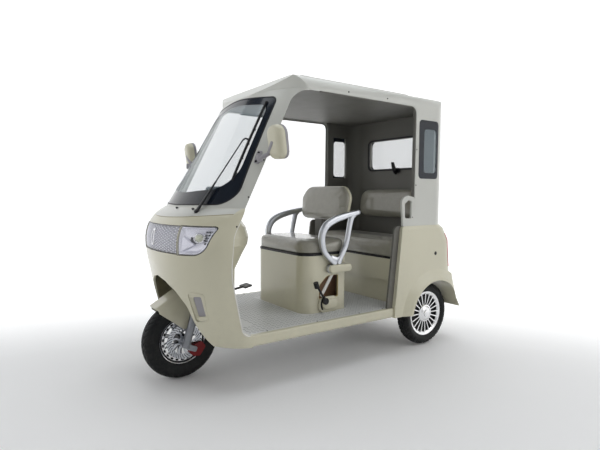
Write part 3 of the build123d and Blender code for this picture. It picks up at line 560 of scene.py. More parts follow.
def flat_on(axis, level, way=1):
    """Place for layers on a plane: u, v are the other two axes, and height leaves it along way."""
    order = {"x": [2, 0, 1], "y": [0, 2, 1], "z": [0, 1, 2]}[axis]
    return lambda u, v, h: np.stack([u, v, level + way * h], axis=-1)[..., order]


def line_on(line, axis, level):
    """The points of a flat line or outline laid on such a plane."""
    return flat_on(axis, level)(line[:, 0], line[:, 1], 0 * line[:, 0])


# %% [markdown]
# ## Body surfaces
# Trim that lies on the nose or the windscreen has to know those surfaces. Both are half
# ellipses in plan whose foremost point moves with height, so the station of any point follows
# from its x and z.

# %% Stations on the nose and the windscreen
nose_heights = np.array([250, 300, 360, 430, 500, 560, 620, 680, 706, 730, 760, 790, 820, 843, 860, 880, 900,
                         915, 930]) / 1000
nose_fronts = np.array([-25.2, -51, -72, -89, -103.7, -116.4, -129, -139.5, -142.6, -144.2, -143.8, -140,
                        -131.5, -120.6, -109.6, -92.4, -69.4, -47.4, -20]) / 1000
screen_foot, screen_rise = 0.93, 0.615
corner_y, corner_r = 1.548, 0.11


def half_ellipse(x, z, front, depth, half):
    return np.stack([x, front + depth - depth * np.sqrt(np.maximum(0, 1 - (x / half)**2)), z], axis=-1)


def on_nose(x, z, out=0):
    """0.24 deep and 0.45 half wide behind the nose's foremost point."""
    return half_ellipse(x, z, np.interp(z, nose_heights, nose_fronts) - out, 0.24 + out, 0.45 + out)


def on_screen(x, z, out=0):
    """As the nose, but the front, depth and width all change evenly with height."""
    t = (z - screen_foot) / screen_rise
    return half_ellipse(x, z, -0.02 + 0.392 * t - out, 0.24 - 0.085 * t + out, 0.45 - 0.002 * t + out)


def on_rear_side(y, z, out=0):
    """Cabin side, turning the rear corner on its radius."""
    turn = np.maximum(0, y - corner_y)
    return np.stack([0.45 - corner_r + np.sqrt(np.maximum(1e-6, (corner_r + out)**2 - turn**2)), y, z],
                    axis=-1)


# %% [markdown]
# ## Printed borders of the glass
# Vehicle glass is bonded in, and a black ceramic border is printed on it to hide the glue. It
# is a strip between the glass's own outline and the clear opening, so it follows the curve.

# %% Borders on the windscreen, the quarter windows and the rear window
border_out, border_in = 0.0006, -0.0056
back_wall_inside = 1.6295
screen_loop = round_outline([(-0.404, 0.95, 0.075), (0, 0.942, 0.5), (0.404, 0.95, 0.075),
                             (0.348, 1.502, 0.045), (0, 1.535, 0.9), (-0.348, 1.502, 0.045)], 9, 9)
screen_clear = round_outline([(-0.366, 1.03, 0.11), (0, 1.004, 0.8), (0.366, 1.03, 0.11),
                              (0.316, 1.462, 0.055), (0, 1.5, 0.9), (-0.316, 1.462, 0.055)], 9, 9)
border = band(inset_loop(screen_loop, -0.0005), screen_clear, on_screen, border_out, -0.0058)
piece("windscreen_border", border, frit)
quarter = band(rounded_box(1.383, 1.567, 1.102, 1.467, 0.026, 6, 4),
               rounded_box(1.43, 1.548, 1.138, 1.412, 0.024, 6, 4), on_rear_side, border_out, border_in)
piece("quarter_window_borders", both(quarter), frit)
behind = band(rounded_box(-0.275, 0.275, 1.165, 1.425, 0.045, 7, 2),
              rounded_box(-0.248, 0.248, 1.19, 1.402, 0.04, 7, 2), flat_on("y", 1.658), border_out, border_in)
piece("rear_window_border", behind, frit)
gasket = line_on(rounded_box(-0.255, 0.255, 1.183, 1.407, 0.036, 8, 3), "y", 1.6285)
piece("rear_window_gasket", sweep(gasket, oval(0.006, 0.0085, 12, 3), (0, 1, 0), True), trim)
seal = band(inset_loop(screen_loop, -0.004), inset_loop(screen_loop, 0.002), on_screen, 0.0018, -0.002, 4)
piece("windscreen_seal", seal, trim)

# %% [markdown]
# ## Tyres
# A road tyre is one profile turned about the axle, with the tread pressed into it: two zigzag
# grooves run round it and short slots cross its shoulders. Pressing is a change of radius, so
# the tread is worked out on the same grid as the tyre.

# %% Three treaded tyres
tread_blocks, turn_count, profile_count = 36, 432, 61
front_hub, rear_hub = np.array([0, 0, tyre_r]), np.array([0.354, rear_axle, tyre_r])


def tyre_shape(bead):
    """From the bead's radius on the rim to the tread and back; the grooves take the deeper of two cuts."""
    half = np.array([(0.0322, bead - 0.003), (0.035, bead), (0.0405, bead + 0.012), (0.0447, 0.172),
                     (0.0425, 0.188), (0.0335, 0.2002), (0.018, 0.2062), (0, 0.2078)])
    profile = curve_through(np.concatenate([half, half[-2::-1] * [-1, 1]]), profile_count)
    across, radius = profile[:, 0], profile[:, 1]
    angle = np.linspace(0, 2 * np.pi, turn_count, endpoint=False)[:, None]
    wave = 0.0025 * (2 / np.pi) * np.arcsin(np.sin(angle * tread_blocks))
    groove = np.clip(1.6 - np.abs(np.abs(across + wave) - 0.0115) / 0.0016, 0, 1)
    slots = np.clip((np.sin(angle * tread_blocks + across * 160) - 0.72) * 9, 0, 1)
    shoulder = np.clip((np.abs(across) - 0.0165) / 0.002, 0, 1) * np.clip((radius - 0.178) / 0.004, 0, 1)
    rib = 0.0011 * np.exp(-((radius - 0.1545) / 0.0018)**2)
    rib = rib + 0.0009 * np.exp(-((radius - 0.1795) / 0.0012)**2)
    radius = radius - 0.0042 * np.maximum(groove * (np.abs(across) < 0.02), slots * shoulder)
    width = across * (1 + rib / 0.045) * np.ones_like(angle)
    points = np.stack([width, radius * np.cos(angle), radius * np.sin(angle)], axis=2)
    return points, [grid_faces(turn_count, profile_count, True, True)]


for name, body, hub, bead in (("front_tyre", "front_wheel", front_hub, 0.127),
                              ("rear_tyre_left", "rear_left_wheel", rear_hub, 0.148),
                              ("rear_tyre_right", "rear_right_wheel", rear_hub * [-1, 1, 1], 0.148)):
    piece(name + "_tread", moved(tyre_shape(bead), hub), rubber, body, name)

# %% [markdown]
# ## Wheels
# Behind the rear wheels' thin silver spokes the barrel and the drum are black, and a broad
# bright cap covers the hub. The front wheel has short blades between a hub and a rim with a
# ring of slots, and a drilled brake disc on its left. All is drawn round the X axis first.

# %% Rear wheels: barrel and drum, hub cap, spokes and lip
barrel = [(0.024, 0.1235), (0, 0.1215), (-0.024, 0.1235), (-0.03, 0.136), (-0.03, 0.1455), (-0.027, 0.1455),
          (-0.026, 0.138), (-0.021, 0.1265), (0, 0.1255), (0.024, 0.1275)]
drum = [(-0.026, 0), (-0.026, 0.052), (-0.018, 0.06), (0.006, 0.06), (0.0075, 0.04), (0.0075, 0)]
dark_rim = joined([turned([(0.0075, 0.03), (0.0075, 0.122), (0.0105, 0.124), (0.0105, 0.03)], 64, True),
                   turned(barrel, 96, True), turned(drum, 48)])
cap = turned([(0.02, 0), (0.047, 0), (0.0465, 0.012), (0.0445, 0.022), (0.041, 0.0235), (0.04, 0.036),
              (0.035, 0.046), (0.0335, 0.0475), (0.0325, 0.056), (0.027, 0.0605), (0.02, 0.0605)], 72)
lip = [(0.0268, 0.1475), (0.0322, 0.1498), (0.0338, 0.1465), (0.0318, 0.136), (0.0272, 0.1275),
       (0.0225, 0.1235), (0.0225, 0.127), (0.0255, 0.136)]
spoke_line = curve_through([(0.024, 0, 0.05), (0.0255, 0, 0.075), (0.0265, 0, 0.1), (0.0285, 0, 0.13)], 9)
spoke = sweep(spoke_line, oval(0.0046, 0.005, 8, 3), size=np.linspace(0.7, 1.2, 9))
silver_rim = joined([round_axle(spoke, 20), turned(lip, 96, True)])
for side, way in ((1, "left"), (-1, "right")):
    for label, shape, material, replaced in (("rim_backing", dark_rim, trim, "rear_rim_" + way),
                                             ("hub_cap", cap, bright, None),
                                             ("rim_spokes", silver_rim, bright, None)):
        piece(f"rear_{way}_{label}", moved(shape, rear_hub * [side, 1, 1], side), material,
              f"rear_{way}_wheel", replaced)

# %% Front wheel: barrel and hub, edges, blades, and the drilled disc on curved arms
edges, blades = [], []
dark = [turned([(0.03, 0.1265), (0.024, 0.104), (0, 0.099), (-0.024, 0.104), (-0.03, 0.1265),
                (-0.028, 0.1275), (-0.022, 0.108), (0, 0.103), (0.022, 0.108), (0.028, 0.1275)], 96, True),
        turned([(-0.046, 0.012), (-0.046, 0.034), (0.0495, 0.034), (0.0495, 0.012)], 40, True)]
for way in (1, -1):
    for ring in ([(0.0262, 0.1262), (0.0325, 0.129), (0.0345, 0.1262), (0.0325, 0.1222), (0.0285, 0.1215)],
                 [(0.0215, 0.115), (0.0265, 0.116), (0.0265, 0.0985), (0.0215, 0.0975)]):
        edges.append(turned(np.array(ring) * [way, 1], 96, True))
    blade_line = [(way * 0.02, 0, 0.033), (way * 0.021, 0.006, 0.066), (way * 0.023, 0, 0.099)]
    blades.append(round_axle(sweep(curve_through(blade_line, 8), oval(0.0045, 0.0035, 8, 3)), 10))
    slot = layered(oval(0.0085, 0.0052, 12, 2.6) + [0, 0.1068], [(0, 0), (0, 0.0012)],
                   flat_on("x", way * 0.0262, way))
    dark.append(round_axle(slot, 22))
disc_x = 0.054
disc = [turned([(0.0515, 0.067), (0.0515, 0.0935), (0.0522, 0.0942), (0.0558, 0.0942), (0.0565, 0.0935),
                (0.0565, 0.067)], 96, True),
        round_axle(sweep(curve_through([(disc_x, 0.004, 0.024), (disc_x, 0.014, 0.048),
                                        (disc_x, 0.004, 0.069)], 8), oval(0.0055, 0.0022, 8, 4)), 9),
        turned([(0.05, 0.0135), (0.05, 0.03), (0.058, 0.03), (0.0585, 0.0135)], 40, True)]
holes = []
for radius, start in ((0.0905, 0), (0.0845, 0.055), (0.0785, 0.11), (0.0725, 0.165)):
    middle = [radius * math.sin(start), radius * math.cos(start)]
    holes.append(round_axle(layered(oval(0.003, 0.003, 8) + middle, [(0, -0.0029), (0, 0.0029)],
                                    flat_on("x", disc_x)), 36))
for name, shapes, material, slot, replaced in (
        ("front_rim_barrel", dark, trim, "rim_silver", "front_rim"),
        ("front_rim_edges", edges, bright, "rim_silver", None),
        ("front_rim_blades", blades, ground, "rim_silver", None),
        ("drilled_disc", disc, satin, "steel_bright", "brake_disc"),
        ("disc_holes", holes, trim, "steel_bright", None)):
    piece(name, moved(joined(shapes), front_hub), material, "front_wheel", replaced)

# %% [markdown]
# ## Stuffed seats
# A seat is a foam block in a vinyl cover, flat below, its top and sides swelling between the
# rounded edges. A rounded slab is remeshed finely and cloth under pressure swells it, while
# the points near its base stay where the board holds them.

# %% Swell a pad with cloth
sim_frames, foam_fill = 20, 0.75


def stuffed(shape, voxel, pressure, most, held):
    """Remesh, pin the held points, run twenty frames of pressure, and keep moves under a limit."""
    scene = bpy.context.scene
    mesh = bpy.data.meshes.new("pad_work")
    points, faces = shape
    mesh.from_pydata(np.asarray(points).reshape(-1, 3).tolist(), [],
                     [row for f in faces for row in f.tolist()])
    pad = bpy.data.objects.new("pad_work", mesh)
    scene.collection.objects.link(pad)
    face_outwards(pad)
    even = pad.modifiers.new("even", "REMESH")
    even.mode, even.voxel_size, even.use_smooth_shade = "VOXEL", voxel, True
    remeshed = bpy.data.meshes.new_from_object(pad.evaluated_get(bpy.context.evaluated_depsgraph_get()))
    pad.modifiers.clear()
    pad.data = remeshed
    rest = np.empty(3 * len(remeshed.vertices), np.float32)
    remeshed.vertices.foreach_get("co", rest)
    rest = rest.reshape(-1, 3)
    settled = rest
    group = pad.vertex_groups.new(name="held")
    group.add(np.nonzero(held(rest))[0].tolist(), 1, "REPLACE")
    cloth = pad.modifiers.new("stuffing", "CLOTH")
    cloth.settings.vertex_group_mass = "held"
    cloth.settings.use_pressure = True
    cloth.settings.uniform_pressure_force = pressure
    cloth.settings.quality = 4
    cloth.settings.tension_stiffness = cloth.settings.compression_stiffness = 40
    cloth.settings.bending_stiffness = 3
    cloth.settings.effector_weights.gravity = 0
    cloth.point_cache.frame_start, cloth.point_cache.frame_end = 1, sim_frames
    for frame_number in range(1, sim_frames + 1):
        scene.frame_set(frame_number)
    swollen = pad.evaluated_get(bpy.context.evaluated_depsgraph_get()).to_mesh()
    settled = np.empty(3 * len(swollen.vertices), np.float32)
    swollen.vertices.foreach_get("co", settled)
    settled = settled.reshape(-1, 3)
    move = settled - rest
    length = np.linalg.norm(move, axis=1)[:, None] + 1e-9
    settled = rest + move * np.minimum(length, most) / length
    pad.modifiers.clear()
    scene.frame_set(1)
    corners = np.empty(len(remeshed.loops), np.int32)
    remeshed.loops.foreach_get("vertex_index", corners)
    bpy.data.objects.remove(pad)
    print("pad", len(rest), "points, swollen", round(float(np.abs(settled - rest).max()) * 1000, 1), "mm")
    return settled, [corners.reshape(-1, 4)]


def slab_layers(height, lower, upper, steps=6):
    """(inset, height) layers of a slab: quarter rounds at its lower and upper edges."""
    t = np.linspace(0, np.pi / 2, steps)
    rows = list(zip(lower * (1 - np.sin(t)), lower * (1 - np.cos(t))))
    return rows + list(zip(upper * (1 - np.cos(t)), height - upper + upper * np.sin(t)))


def pad_piece(name, shape, body, node, voxel, pressure, most, held):
    made = piece(name, stuffed(shape, voxel, pressure, most, held), vinyl, body, node, 80)
    smooth = made.modifiers.new("finer", "SUBSURF")
    smooth.levels = smooth.render_levels = 1


driver_plan = rounded_box(-0.272, 0.272, 0.634, 0.938, (0.085, 0.085, 0.035, 0.035), 10, 6)
driver_seat = layered(driver_plan, slab_layers(0.075, 0.006, 0.024), flat_on("z", 0.657))
pad_piece("driver_seat_pad", driver_seat, "driver_lid", "driver_cushion", 0.006, 1.3, 0.006,
          lambda p: p[:, 2] < 0.672)
bench_plan = rounded_box(-0.368, 0.368, 1.246, 1.524, (0.03, 0.03, 0.02, 0.02), 8, 8)
bench_seat = layered(bench_plan, slab_layers(0.116, 0.008, 0.03), flat_on("z", 0.6045))
pad_piece("bench_seat_pad", bench_seat, "bench_lid", "bench_cushion", 0.007, 1.3, 0.008,
          lambda p: p[:, 2] < 0.622)

# %% Backrests
lean, back_foot = math.tan(math.radians(8)), 0.832
driver_back = round_outline([(-0.226, 0.836, 0.06), (0.226, 0.836, 0.06), (0.244, 0.985, 0.06),
                             (0.186, 1.052, 0.07), (-0.186, 1.052, 0.07), (-0.244, 0.985, 0.06)], 9, 4)


def leaning(base):
    """Place for layers that face forwards and lean back with height."""
    return lambda u, v, h: np.stack([u, base - h + (v - back_foot) * lean, v], axis=-1)


pad = layered(inset_loop(driver_back, 0.003), slab_layers(0.03, 0.004, 0.018), leaning(0.988))
pad_piece("driver_back_pad", pad, "root", "driver_backrest", 0.006, 0.8, 0.005,
          lambda p: p[:, 1] - (p[:, 2] - back_foot) * lean > 0.98)
back_shell = layered(driver_back, [(0.022, -0.022), (0.01, -0.019), (0.003, -0.012), (0, -0.003), (0, 0.006),
                                   (0.002, 0.008), (0.008, 0.008)], leaning(0.99))
piece("driver_back_shell", back_shell, cream, replaces="driver_backrest")
bench_back = round_outline([(-0.294, 0.838, 0.06), (0.294, 0.838, 0.06), (0.274, 1.036, 0.085),
                            (-0.274, 1.036, 0.085)], 9, 6)
pad = layered(bench_back, slab_layers(0.072, 0.006, 0.03), flat_on("y", back_wall_inside, -1))
pad_piece("bench_back_pad", pad, "root", "bench_backrest", 0.007, 0.8, 0.005, lambda p: p[:, 1] > 1.612)

# %% [markdown]
# ## Strips under the seats
# The black line under each cushion is a rubber strip between the board and the box.

# %% Rubber strips
strip = layered(rounded_box(-0.275, 0.275, 0.632, 0.942, (0.08, 0.08, 0.012, 0.012), 10, 4),
                [(0.004, 0), (-0.0005, 0.0005), (-0.0015, 0.003), (-0.0015, 0.014), (0.004, 0.0155)],
                flat_on("z", 0.6415))
piece("driver_box_strip", strip, trim)
strip = layered(rounded_box(-0.37, 0.37, 1.2455, 1.53, (0.03, 0.03, 0.01, 0.01), 8, 4),
                [(0.004, 0), (0, 0.001), (0, 0.011), (0.004, 0.012)], flat_on("z", 0.5925))
piece("bench_strip", strip, trim)

# %% [markdown]
# ## Headlamps
# A lamp looks deep because its clear cover stands in front of a bowl: a pale reflector, one
# bright facet, a round projector lens and a cluster of small dark diodes. The cover is the
# frame's own solid made nearly clear, and the rest is set just inside its front.

# %% Reflector, facet, projector and diodes on both sides
def into_nose(sink):
    """Place for layers that start this far behind the nose's surface."""
    return lambda u, v, h: on_nose(u, v, h - sink)


lamp_loop = round_outline([(0.25, 0.706, 0.004), (0.383, 0.712, 0.066), (0.418, 0.842, 0.012),
                           (0.25, 0.842, 0.004)], 9, 6)
bowl = layered(lamp_loop, [(0.001, 0), (0.001, 0.012), (0.004, 0.0135), (0.007, 0.012), (0.012, 0.004),
                           (0.022, -0.002), (0.036, -0.005), (0.05, -0.006)], into_nose(0.0165))
facet = layered(round_outline([(0.262, 0.722, 0.006), (0.336, 0.757, 0.006), (0.268, 0.8, 0.006)], 5, 4),
                [(0, 0), (0, 0.006), (0.002, 0.008)], into_nose(0.015))
eye = oval(0.023, 0.023, 40) + [0.357, 0.79]
socket = layered(eye, [(0, 0), (0, 0.0095), (0.003, 0.011), (0.005, 0.0095), (0.006, 0.006)],
                 into_nose(0.0145))
ball = layered(eye, [(0.0065, 0), (0.0065, 0.006), (0.0085, 0.0095), (0.012, 0.0115), (0.0165, 0.0125)],
               into_nose(0.0142))
dot = layered(oval(0.0042, 0.0042, 8), [(0, 0), (0, 0.009), (0.0012, 0.0105)], flat_on("y", 0, -1))
dot_x, dot_z = [g.ravel() for g in np.meshgrid([0.383, 0.393, 0.403], 0.764 + 0.0135 * np.arange(5),
                                               indexing="ij")]
keep = (dot_x < 0.395) | (dot_z > 0.77)
dots = repeated(dot, on_nose(dot_x[keep], dot_z[keep], -0.0125))
for name, shape, material in (("headlamp_bowls", bowl, lamp_white), ("headlamp_facets", facet, lamp_white),
                              ("headlamp_rings", socket, bright),
                              ("headlamp_projectors", ball, projector_glass),
                              ("headlamp_diodes", dots, frit)):
    piece(name, both(shape), material)

# %% [markdown]
# ## Centre band
# Between the headlamps runs a band with a fine mesh of short bars behind clear cover, and a
# plain oval ring in its middle.

# %% Mesh of bars, backing and the plain oval ring
rows, columns, stagger = 9, 25, 0.007
cell_x, cell_z = [g.ravel() for g in np.meshgrid(np.linspace(-0.2255, 0.2255, columns),
                                                 np.linspace(0.717, 0.83, rows), indexing="ij")]
cell_z = cell_z + (np.arange(columns)[:, None] % 2 * stagger * np.ones(rows)).ravel() - stagger / 2
bar = layered(oval(0.0078, 0.0034, 8, 3), [(0, 0), (0, 0.003), (0.0006, 0.0038)], flat_on("y", 0, -1))
piece("band_mesh", repeated(bar, on_nose(cell_x, cell_z, -0.011)), mesh_silver)
band_loop = rounded_box(-0.238, 0.238, 0.708, 0.841, 0.003, 3, 24)
backing = band(band_loop, band_loop * 0.02 + [0, 0.76], on_nose, -0.012, -0.016, 8)
piece("band_backing", backing, band_lilac)
oval_loop = oval(0.021, 0.043, 48) + [0, 0.776]
piece("band_oval_ring", band(oval_loop, inset_loop(oval_loop, 0.0065), on_nose, 0.0016, -0.002, 5), bright)

# %% Dark joint lines round the lamps and between the body mouldings
lamp_edge = round_outline([(0.2415, 0.7025, 0.003), (0.385, 0.7085, 0.07), (0.424, 0.846, 0.012),
                           (0.2415, 0.846, 0.003)], 9, 9)
lamp_line = band(inset_loop(lamp_edge, -0.0012), inset_loop(lamp_edge, 0.0012), on_nose, 0.0004, -0.002, 3)
band_edge = rounded_box(-0.2415, 0.2415, 0.7055, 0.8435, 0.003, 3, 40)
band_line = band(inset_loop(band_edge, -0.0008), inset_loop(band_edge, 0.0012), on_nose, 0.0004, -0.002, 3)
piece("lamp_joint_lines", joined([both(lamp_line), band_line]), trim)
line_x = np.linspace(-0.4315, 0.4315, 161)
joint_z = 0.88 + 0.023 * (line_x / 0.43)**2
cowl_line = sweep(on_nose(line_x, joint_z, 0.001), oval(0.001, 0.0014, 6), (0, 0, 1))
piece("cowl_joint_line", cowl_line, joint_brown)

# %% The upper cowl's pale skin, from the joint line up to the windscreen
cowl_top, cowl_rows = 0.9292, 12
share = np.linspace(0, 1, cowl_rows)
share = np.concatenate([share, share[::-1]])[:, None]
level = np.repeat([0.0012, -0.0018], cowl_rows)[:, None] + 0 * line_x
cowl = on_nose(line_x + 0 * share, joint_z + (cowl_top - joint_z) * share, level)
ring = np.arange(2 * cowl_rows) * len(line_x)
cowl_faces = [grid_faces(2 * cowl_rows, len(line_x), True), ring[None], ring[None, ::-1] + len(line_x) - 1]
piece("cowl_panel", (cowl, cowl_faces), pearl)

# %% [markdown]
# ## Door edge bead and screws
# A pale bead runs down the edge of the leg shield to the sill, where the inner and outer
# mouldings meet. Small dark screws fix the linings.

# %% Bead down the leg shield's edge
door = round_outline([(0.15, 0.305, 0.045), (0.086, 0.61, 0.4), (0.1, 0.8, 0.12), (0.468, 1.541, 0.13),
                      (1.355, 1.541, 0.045), (1.351, 0.806, 0.006), (1.243, 0.806, 0.024),
                      (1.186, 0.305, 0.02)], 14, 12)
front_run = door[(door[:, 0] < 0.24) & (door[:, 1] < 0.9)]
front_run = front_run[np.argsort(-front_run[:, 1])] - [0.0015, 0]
bead = sweep(line_on(front_run, "x", 0.4475), oval(0.003, 0.003, 10))
piece("leg_shield_beads", both(bead), bead_white)

# %% Dark strip round the upper door opening: partly its rubber seal, partly painted shade of the gap under the roof edge
upper_run = inset_loop(door, -0.003)[(door[:, 1] > 0.9) & (door[:, 0] > 0.55)]
seal_and_gap_shade = sweep(line_on(upper_run, "x", 0.4425), oval(0.0042, 0.0048, 10, 2.6))
piece("door_seals_and_gap_shade", both(seal_and_gap_shade), lining)

# %% Screws
screw_layers = [(0, -0.001), (0, 0.0008), (0.0012, 0.0018), (0.0025, 0.0018)]
side_screw, floor_screw = [layered(oval(0.0042, 0.0042, 12), screw_layers, flat_on(axis, 0)) for axis in "xz"]
side_spots = np.array([(0.45, 0.112, 0.845), (0.449, 0.176, 0.985), (0.449, 0.262, 1.165),
                       (0.45, 1.335, 0.86),
                       (0.45, 1.362, 1.06), (0.45, 1.362, 1.28), (0.45, 0.8, 1.56), (0.45, 1.1, 1.56)])
floor_spots = np.array([(0.418, y, 0.305) for y in (0.3, 0.62, 0.93, 1.12)])
piece("body_screws", both(repeated(side_screw, side_spots), repeated(floor_screw, floor_spots)), trim)

# %% [markdown]
# ## Grip floor
# The pressed floor carries short raised lozenges, turned one way and the other in alternate
# cells. One lozenge is a low eight sided dome, set down hundreds of times.

# %% Raised lozenges
pitch, floor_top, lozenge_turn = 0.0235, 0.305, 0.8
first_x, first_y = -0.4, 0.14
cell_x, cell_y = [g.ravel() for g in np.meshgrid(np.arange(first_x, 0.401, pitch),
                                                 np.arange(first_y, 1.27, pitch), indexing="ij")]
even = (np.round((cell_x - first_x) / pitch) + np.round((cell_y - first_y) / pitch)) % 2 == 0
across = np.abs(cell_x)
under_box = (across < 0.29) & (cell_y > 0.615) & (cell_y < 0.957)
under_dash = (across < 0.305) & (cell_y < 0.3)
clear = ~under_box & ~under_dash & ~((across > 0.385) & (cell_y < 0.19))
spots = np.stack([cell_x, cell_y, floor_top + 0 * cell_x], axis=1)
lozenge, lozenge_faces = layered(oval(0.0105, 0.0028, 8, 1.6),
                                 [(0, -0.0005), (0.0006, 0.0009), (0.0016, 0.0012)], flat_on("z", 0))
turned_lozenges = []
for angle, here in ((lozenge_turn, even), (-lozenge_turn, ~even)):
    cos, sin = math.cos(angle), math.sin(angle)
    turned_points = lozenge @ np.array([[cos, sin, 0], [-sin, cos, 0], [0, 0, 1]])
    turned_lozenges.append(repeated((turned_points, lozenge_faces), spots[here & clear]))
piece("floor_lozenges", joined(turned_lozenges), lozenge_grey)

# %% [markdown]
# ## Armrests
# Each armrest is one casting: two bars that leave a foot together, part round a hand's width and
# meet again at the backrest. A bar is a fat oval section with a shallow channel down its outer
# side, carried along a curve.

# %% Cast bars, clamp and pad on both sides
arm_x, box_side = 0.297, 0.2757
t = np.linspace(0, 2 * np.pi, 28, endpoint=False)
fat = oval(0.0155, 0.0138, 28, 2.7) * (1 - 0.1 * np.exp(-((t - np.pi / 2) / 0.42)**2))[:, None]
front_bar = curve_through([(0.842, 0.588), (0.806, 0.618), (0.764, 0.66), (0.744, 0.712), (0.744, 0.768),
                           (0.774, 0.818), (0.835, 0.85), (0.915, 0.871), (0.985, 0.884), (1.036, 0.893)], 54)
rear_bar = curve_through([(0.862, 0.588), (0.892, 0.64), (0.922, 0.69), (0.938, 0.74), (0.95, 0.8),
                          (0.966, 0.858), (0.984, 0.878)], 36)
front_size = 1.05 + 0.32 * np.sin(np.pi * np.clip(np.linspace(0, 1, 54) * 1.4 - 0.3, 0, 1))
front_size[-3:] *= [0.95, 0.85, 0.6]
rear_size = 0.95 + 0.18 * np.abs(np.linspace(-1, 1, 36))
web = layered(round_outline([(0.812, 0.592, 0.01), (0.892, 0.592, 0.01), (0.905, 0.652, 0.012),
                             (0.858, 0.628, 0.01), (0.798, 0.648, 0.012)], 5, 2),
              [(0.003, -0.009), (0, -0.006), (0, 0.006), (0.003, 0.009)], flat_on("x", arm_x))
foot = layered(rounded_box(0.789, 0.958, 0.536, 0.584, 0.02, 7, 3),
               [(0.002, 0), (0, 0.002), (0, 0.024), (0.003, 0.027)], flat_on("x", box_side))
pad = layered(rounded_box(0.79, 0.959, 0.538, 0.586, 0.022, 8, 3),
              [(0.001, 0), (0, 0.003), (0, 0.009), (0.0012, 0.0135), (0.004, 0.0165), (0.008, 0.018)],
              flat_on("x", 0.3025))
casting = joined([sweep(line_on(front_bar, "x", arm_x), fat, size=front_size),
                  sweep(line_on(rear_bar, "x", arm_x), fat, size=rear_size), web, foot])
for side, way in ((1, "left"), (-1, "right")):
    piece("armrest_casting_" + way, moved(casting, side=side), satin,
          replaces="armrest_" + way, crease=60)
    piece("armrest_clamp_pad_" + way, moved(pad, side=side), cream)

# %% [markdown]
# ## Parking brake and box window
# The lever leaves a slot between two rounded covers. Above it an opening in the box shows a
# brown board, a white brace and a plug.

# %% Covers, board, brace and plug
lower = layered(rounded_box(0.733, 0.882, 0.3, 0.396, 0.045, 10, 3),
                [(0.002, 0), (0, 0.002), (0, 0.01), (0.003, 0.013), (0.008, 0.0145)], flat_on("x", box_side))
upper = layered(rounded_box(0.752, 0.868, 0.322, 0.382, 0.028, 10, 3),
                [(0.001, 0), (0, 0.003), (0, 0.008), (0.0015, 0.012), (0.005, 0.0145), (0.01, 0.0155)],
                flat_on("x", 0.288))
piece("parking_brake_covers", joined([lower, upper]), cream, replaces="parking_brake_cover")
slot_line = curve_through([(0.2895, 0.775, 0.398), (0.2905, 0.756, 0.386), (0.2905, 0.747, 0.352),
                           (0.2905, 0.757, 0.322)], 20)
piece("parking_brake_slot", sweep(slot_line, oval(0.006, 0.002, 10)), trim)
board = layered(rounded_box(0.7, 0.925, 0.335, 0.56, 0.005, 3, 1), [(0, 0), (0, 0.004)], flat_on("x", 0.2035))
piece("box_window_board", board, brown_board)
brace_line = np.array([(0.258, 0.768, 0.395), (0.258, 0.798, 0.44), (0.258, 0.845, 0.512),
                       (0.258, 0.868, 0.545)])
piece("box_window_brace", sweep(brace_line, oval(0.011, 0.004, 12, 4)), bead_white)
plug = layered(oval(0.014, 0.02, 24, 2.4) + [0.778, 0.472],
               [(0, 0), (0, 0.016), (0.003, 0.019), (0.006, 0.012)], flat_on("x", 0.207))
piece("box_window_plug", plug, lilac)
window = round_outline([(0.738, 0.385, 0.01), (0.885, 0.385, 0.01), (0.885, 0.52, 0.01), (0.8, 0.52, 0.05),
                        (0.745, 0.47, 0.02)], 8, 3)
window_rim = band(window, inset_loop(window, 0.0016), flat_on("x", 0.275), 0.0008, -0.0095, 3)
piece("box_window_edge", window_rim, board_edge)

# %% [markdown]
# ## Mirrors
# A mirror head is a shell like half an egg, cream in front, with a lilac rim round the glass at
# its back and a lilac arm let into its face. The arm swings on a bracket screwed to the pillar.

# %% Mirror heads, rims, glasses, arms and brackets
tip, swing = math.radians(8), math.radians(6)
head_centre = np.array([0.528, 0.285, 1.246])


def on_head(u, v, h):
    """Local u across, v up and h forward, tipped about X and swung about Z as the frame's is."""
    x, y, z = u, -h, v
    x, y = x * math.cos(swing) - y * math.sin(swing), x * math.sin(swing) + y * math.cos(swing)
    y, z = y * math.cos(tip) - z * math.sin(tip), y * math.sin(tip) + z * math.cos(tip)
    return np.stack([x, y, z], axis=-1) + head_centre


head = round_outline([(-0.049, -0.081, 0.044), (0.053, -0.081, 0.038), (0.057, 0.083, 0.048),
                      (-0.053, 0.083, 0.048)], 12, 6)
head_shell = layered(head, [(0.002, -0.014), (0, -0.012), (0, 0), (0.0015, 0.01), (0.006, 0.0185),
                            (0.012, 0.0235), (0.02, 0.027), (0.03, 0.029), (0.038, 0.0296)], on_head)
head_rim = layered(head, [(0.004, -0.0295), (0.0015, -0.0285), (-0.0005, -0.024), (-0.0005, -0.0125),
                          (0.004, -0.012)], on_head)
head_glass = layered(head, [(0.007, -0.0298), (0.007, -0.029), (0.006, -0.024)], on_head)
slot_path = on_head(*curve_through([(-0.05, -0.05, 0.018), (-0.028, -0.03, 0.0265), (-0.006, -0.004, 0.0285),
                                    (0.002, 0.008, 0.0265)], 14).T)
arm_slot = sweep(slot_path, oval(0.011, 0.0035, 16, 2.6), (0, -1, 0), size=np.r_[0.9, np.ones(11), 0.8, 0.45])
arm_path = curve_through([(0.436, 0.254, 1.178), (0.452, 0.24, 1.172), (0.466, 0.24, 1.176),
                          tuple(slot_path[0] + [0.002, 0, 0]), tuple(slot_path[2])], 20)
arm = sweep(arm_path, oval(0.0105, 0.009, 16, 2.4), (0, -1, 0), size=np.linspace(1.15, 0.9, 20))
knuckle = sweep([(0.452, 0.238, z) for z in (1.156, 1.16, 1.186, 1.19)], oval(0.014, 0.014, 20), (0, -1, 0),
                size=[0.8, 1, 1, 0.8])
bracket_line = on_screen(np.array([0.402, 0.4055, 0.4085, 0.4105]), np.array([1.212, 1.196, 1.172, 1.15]),
                         0.003)
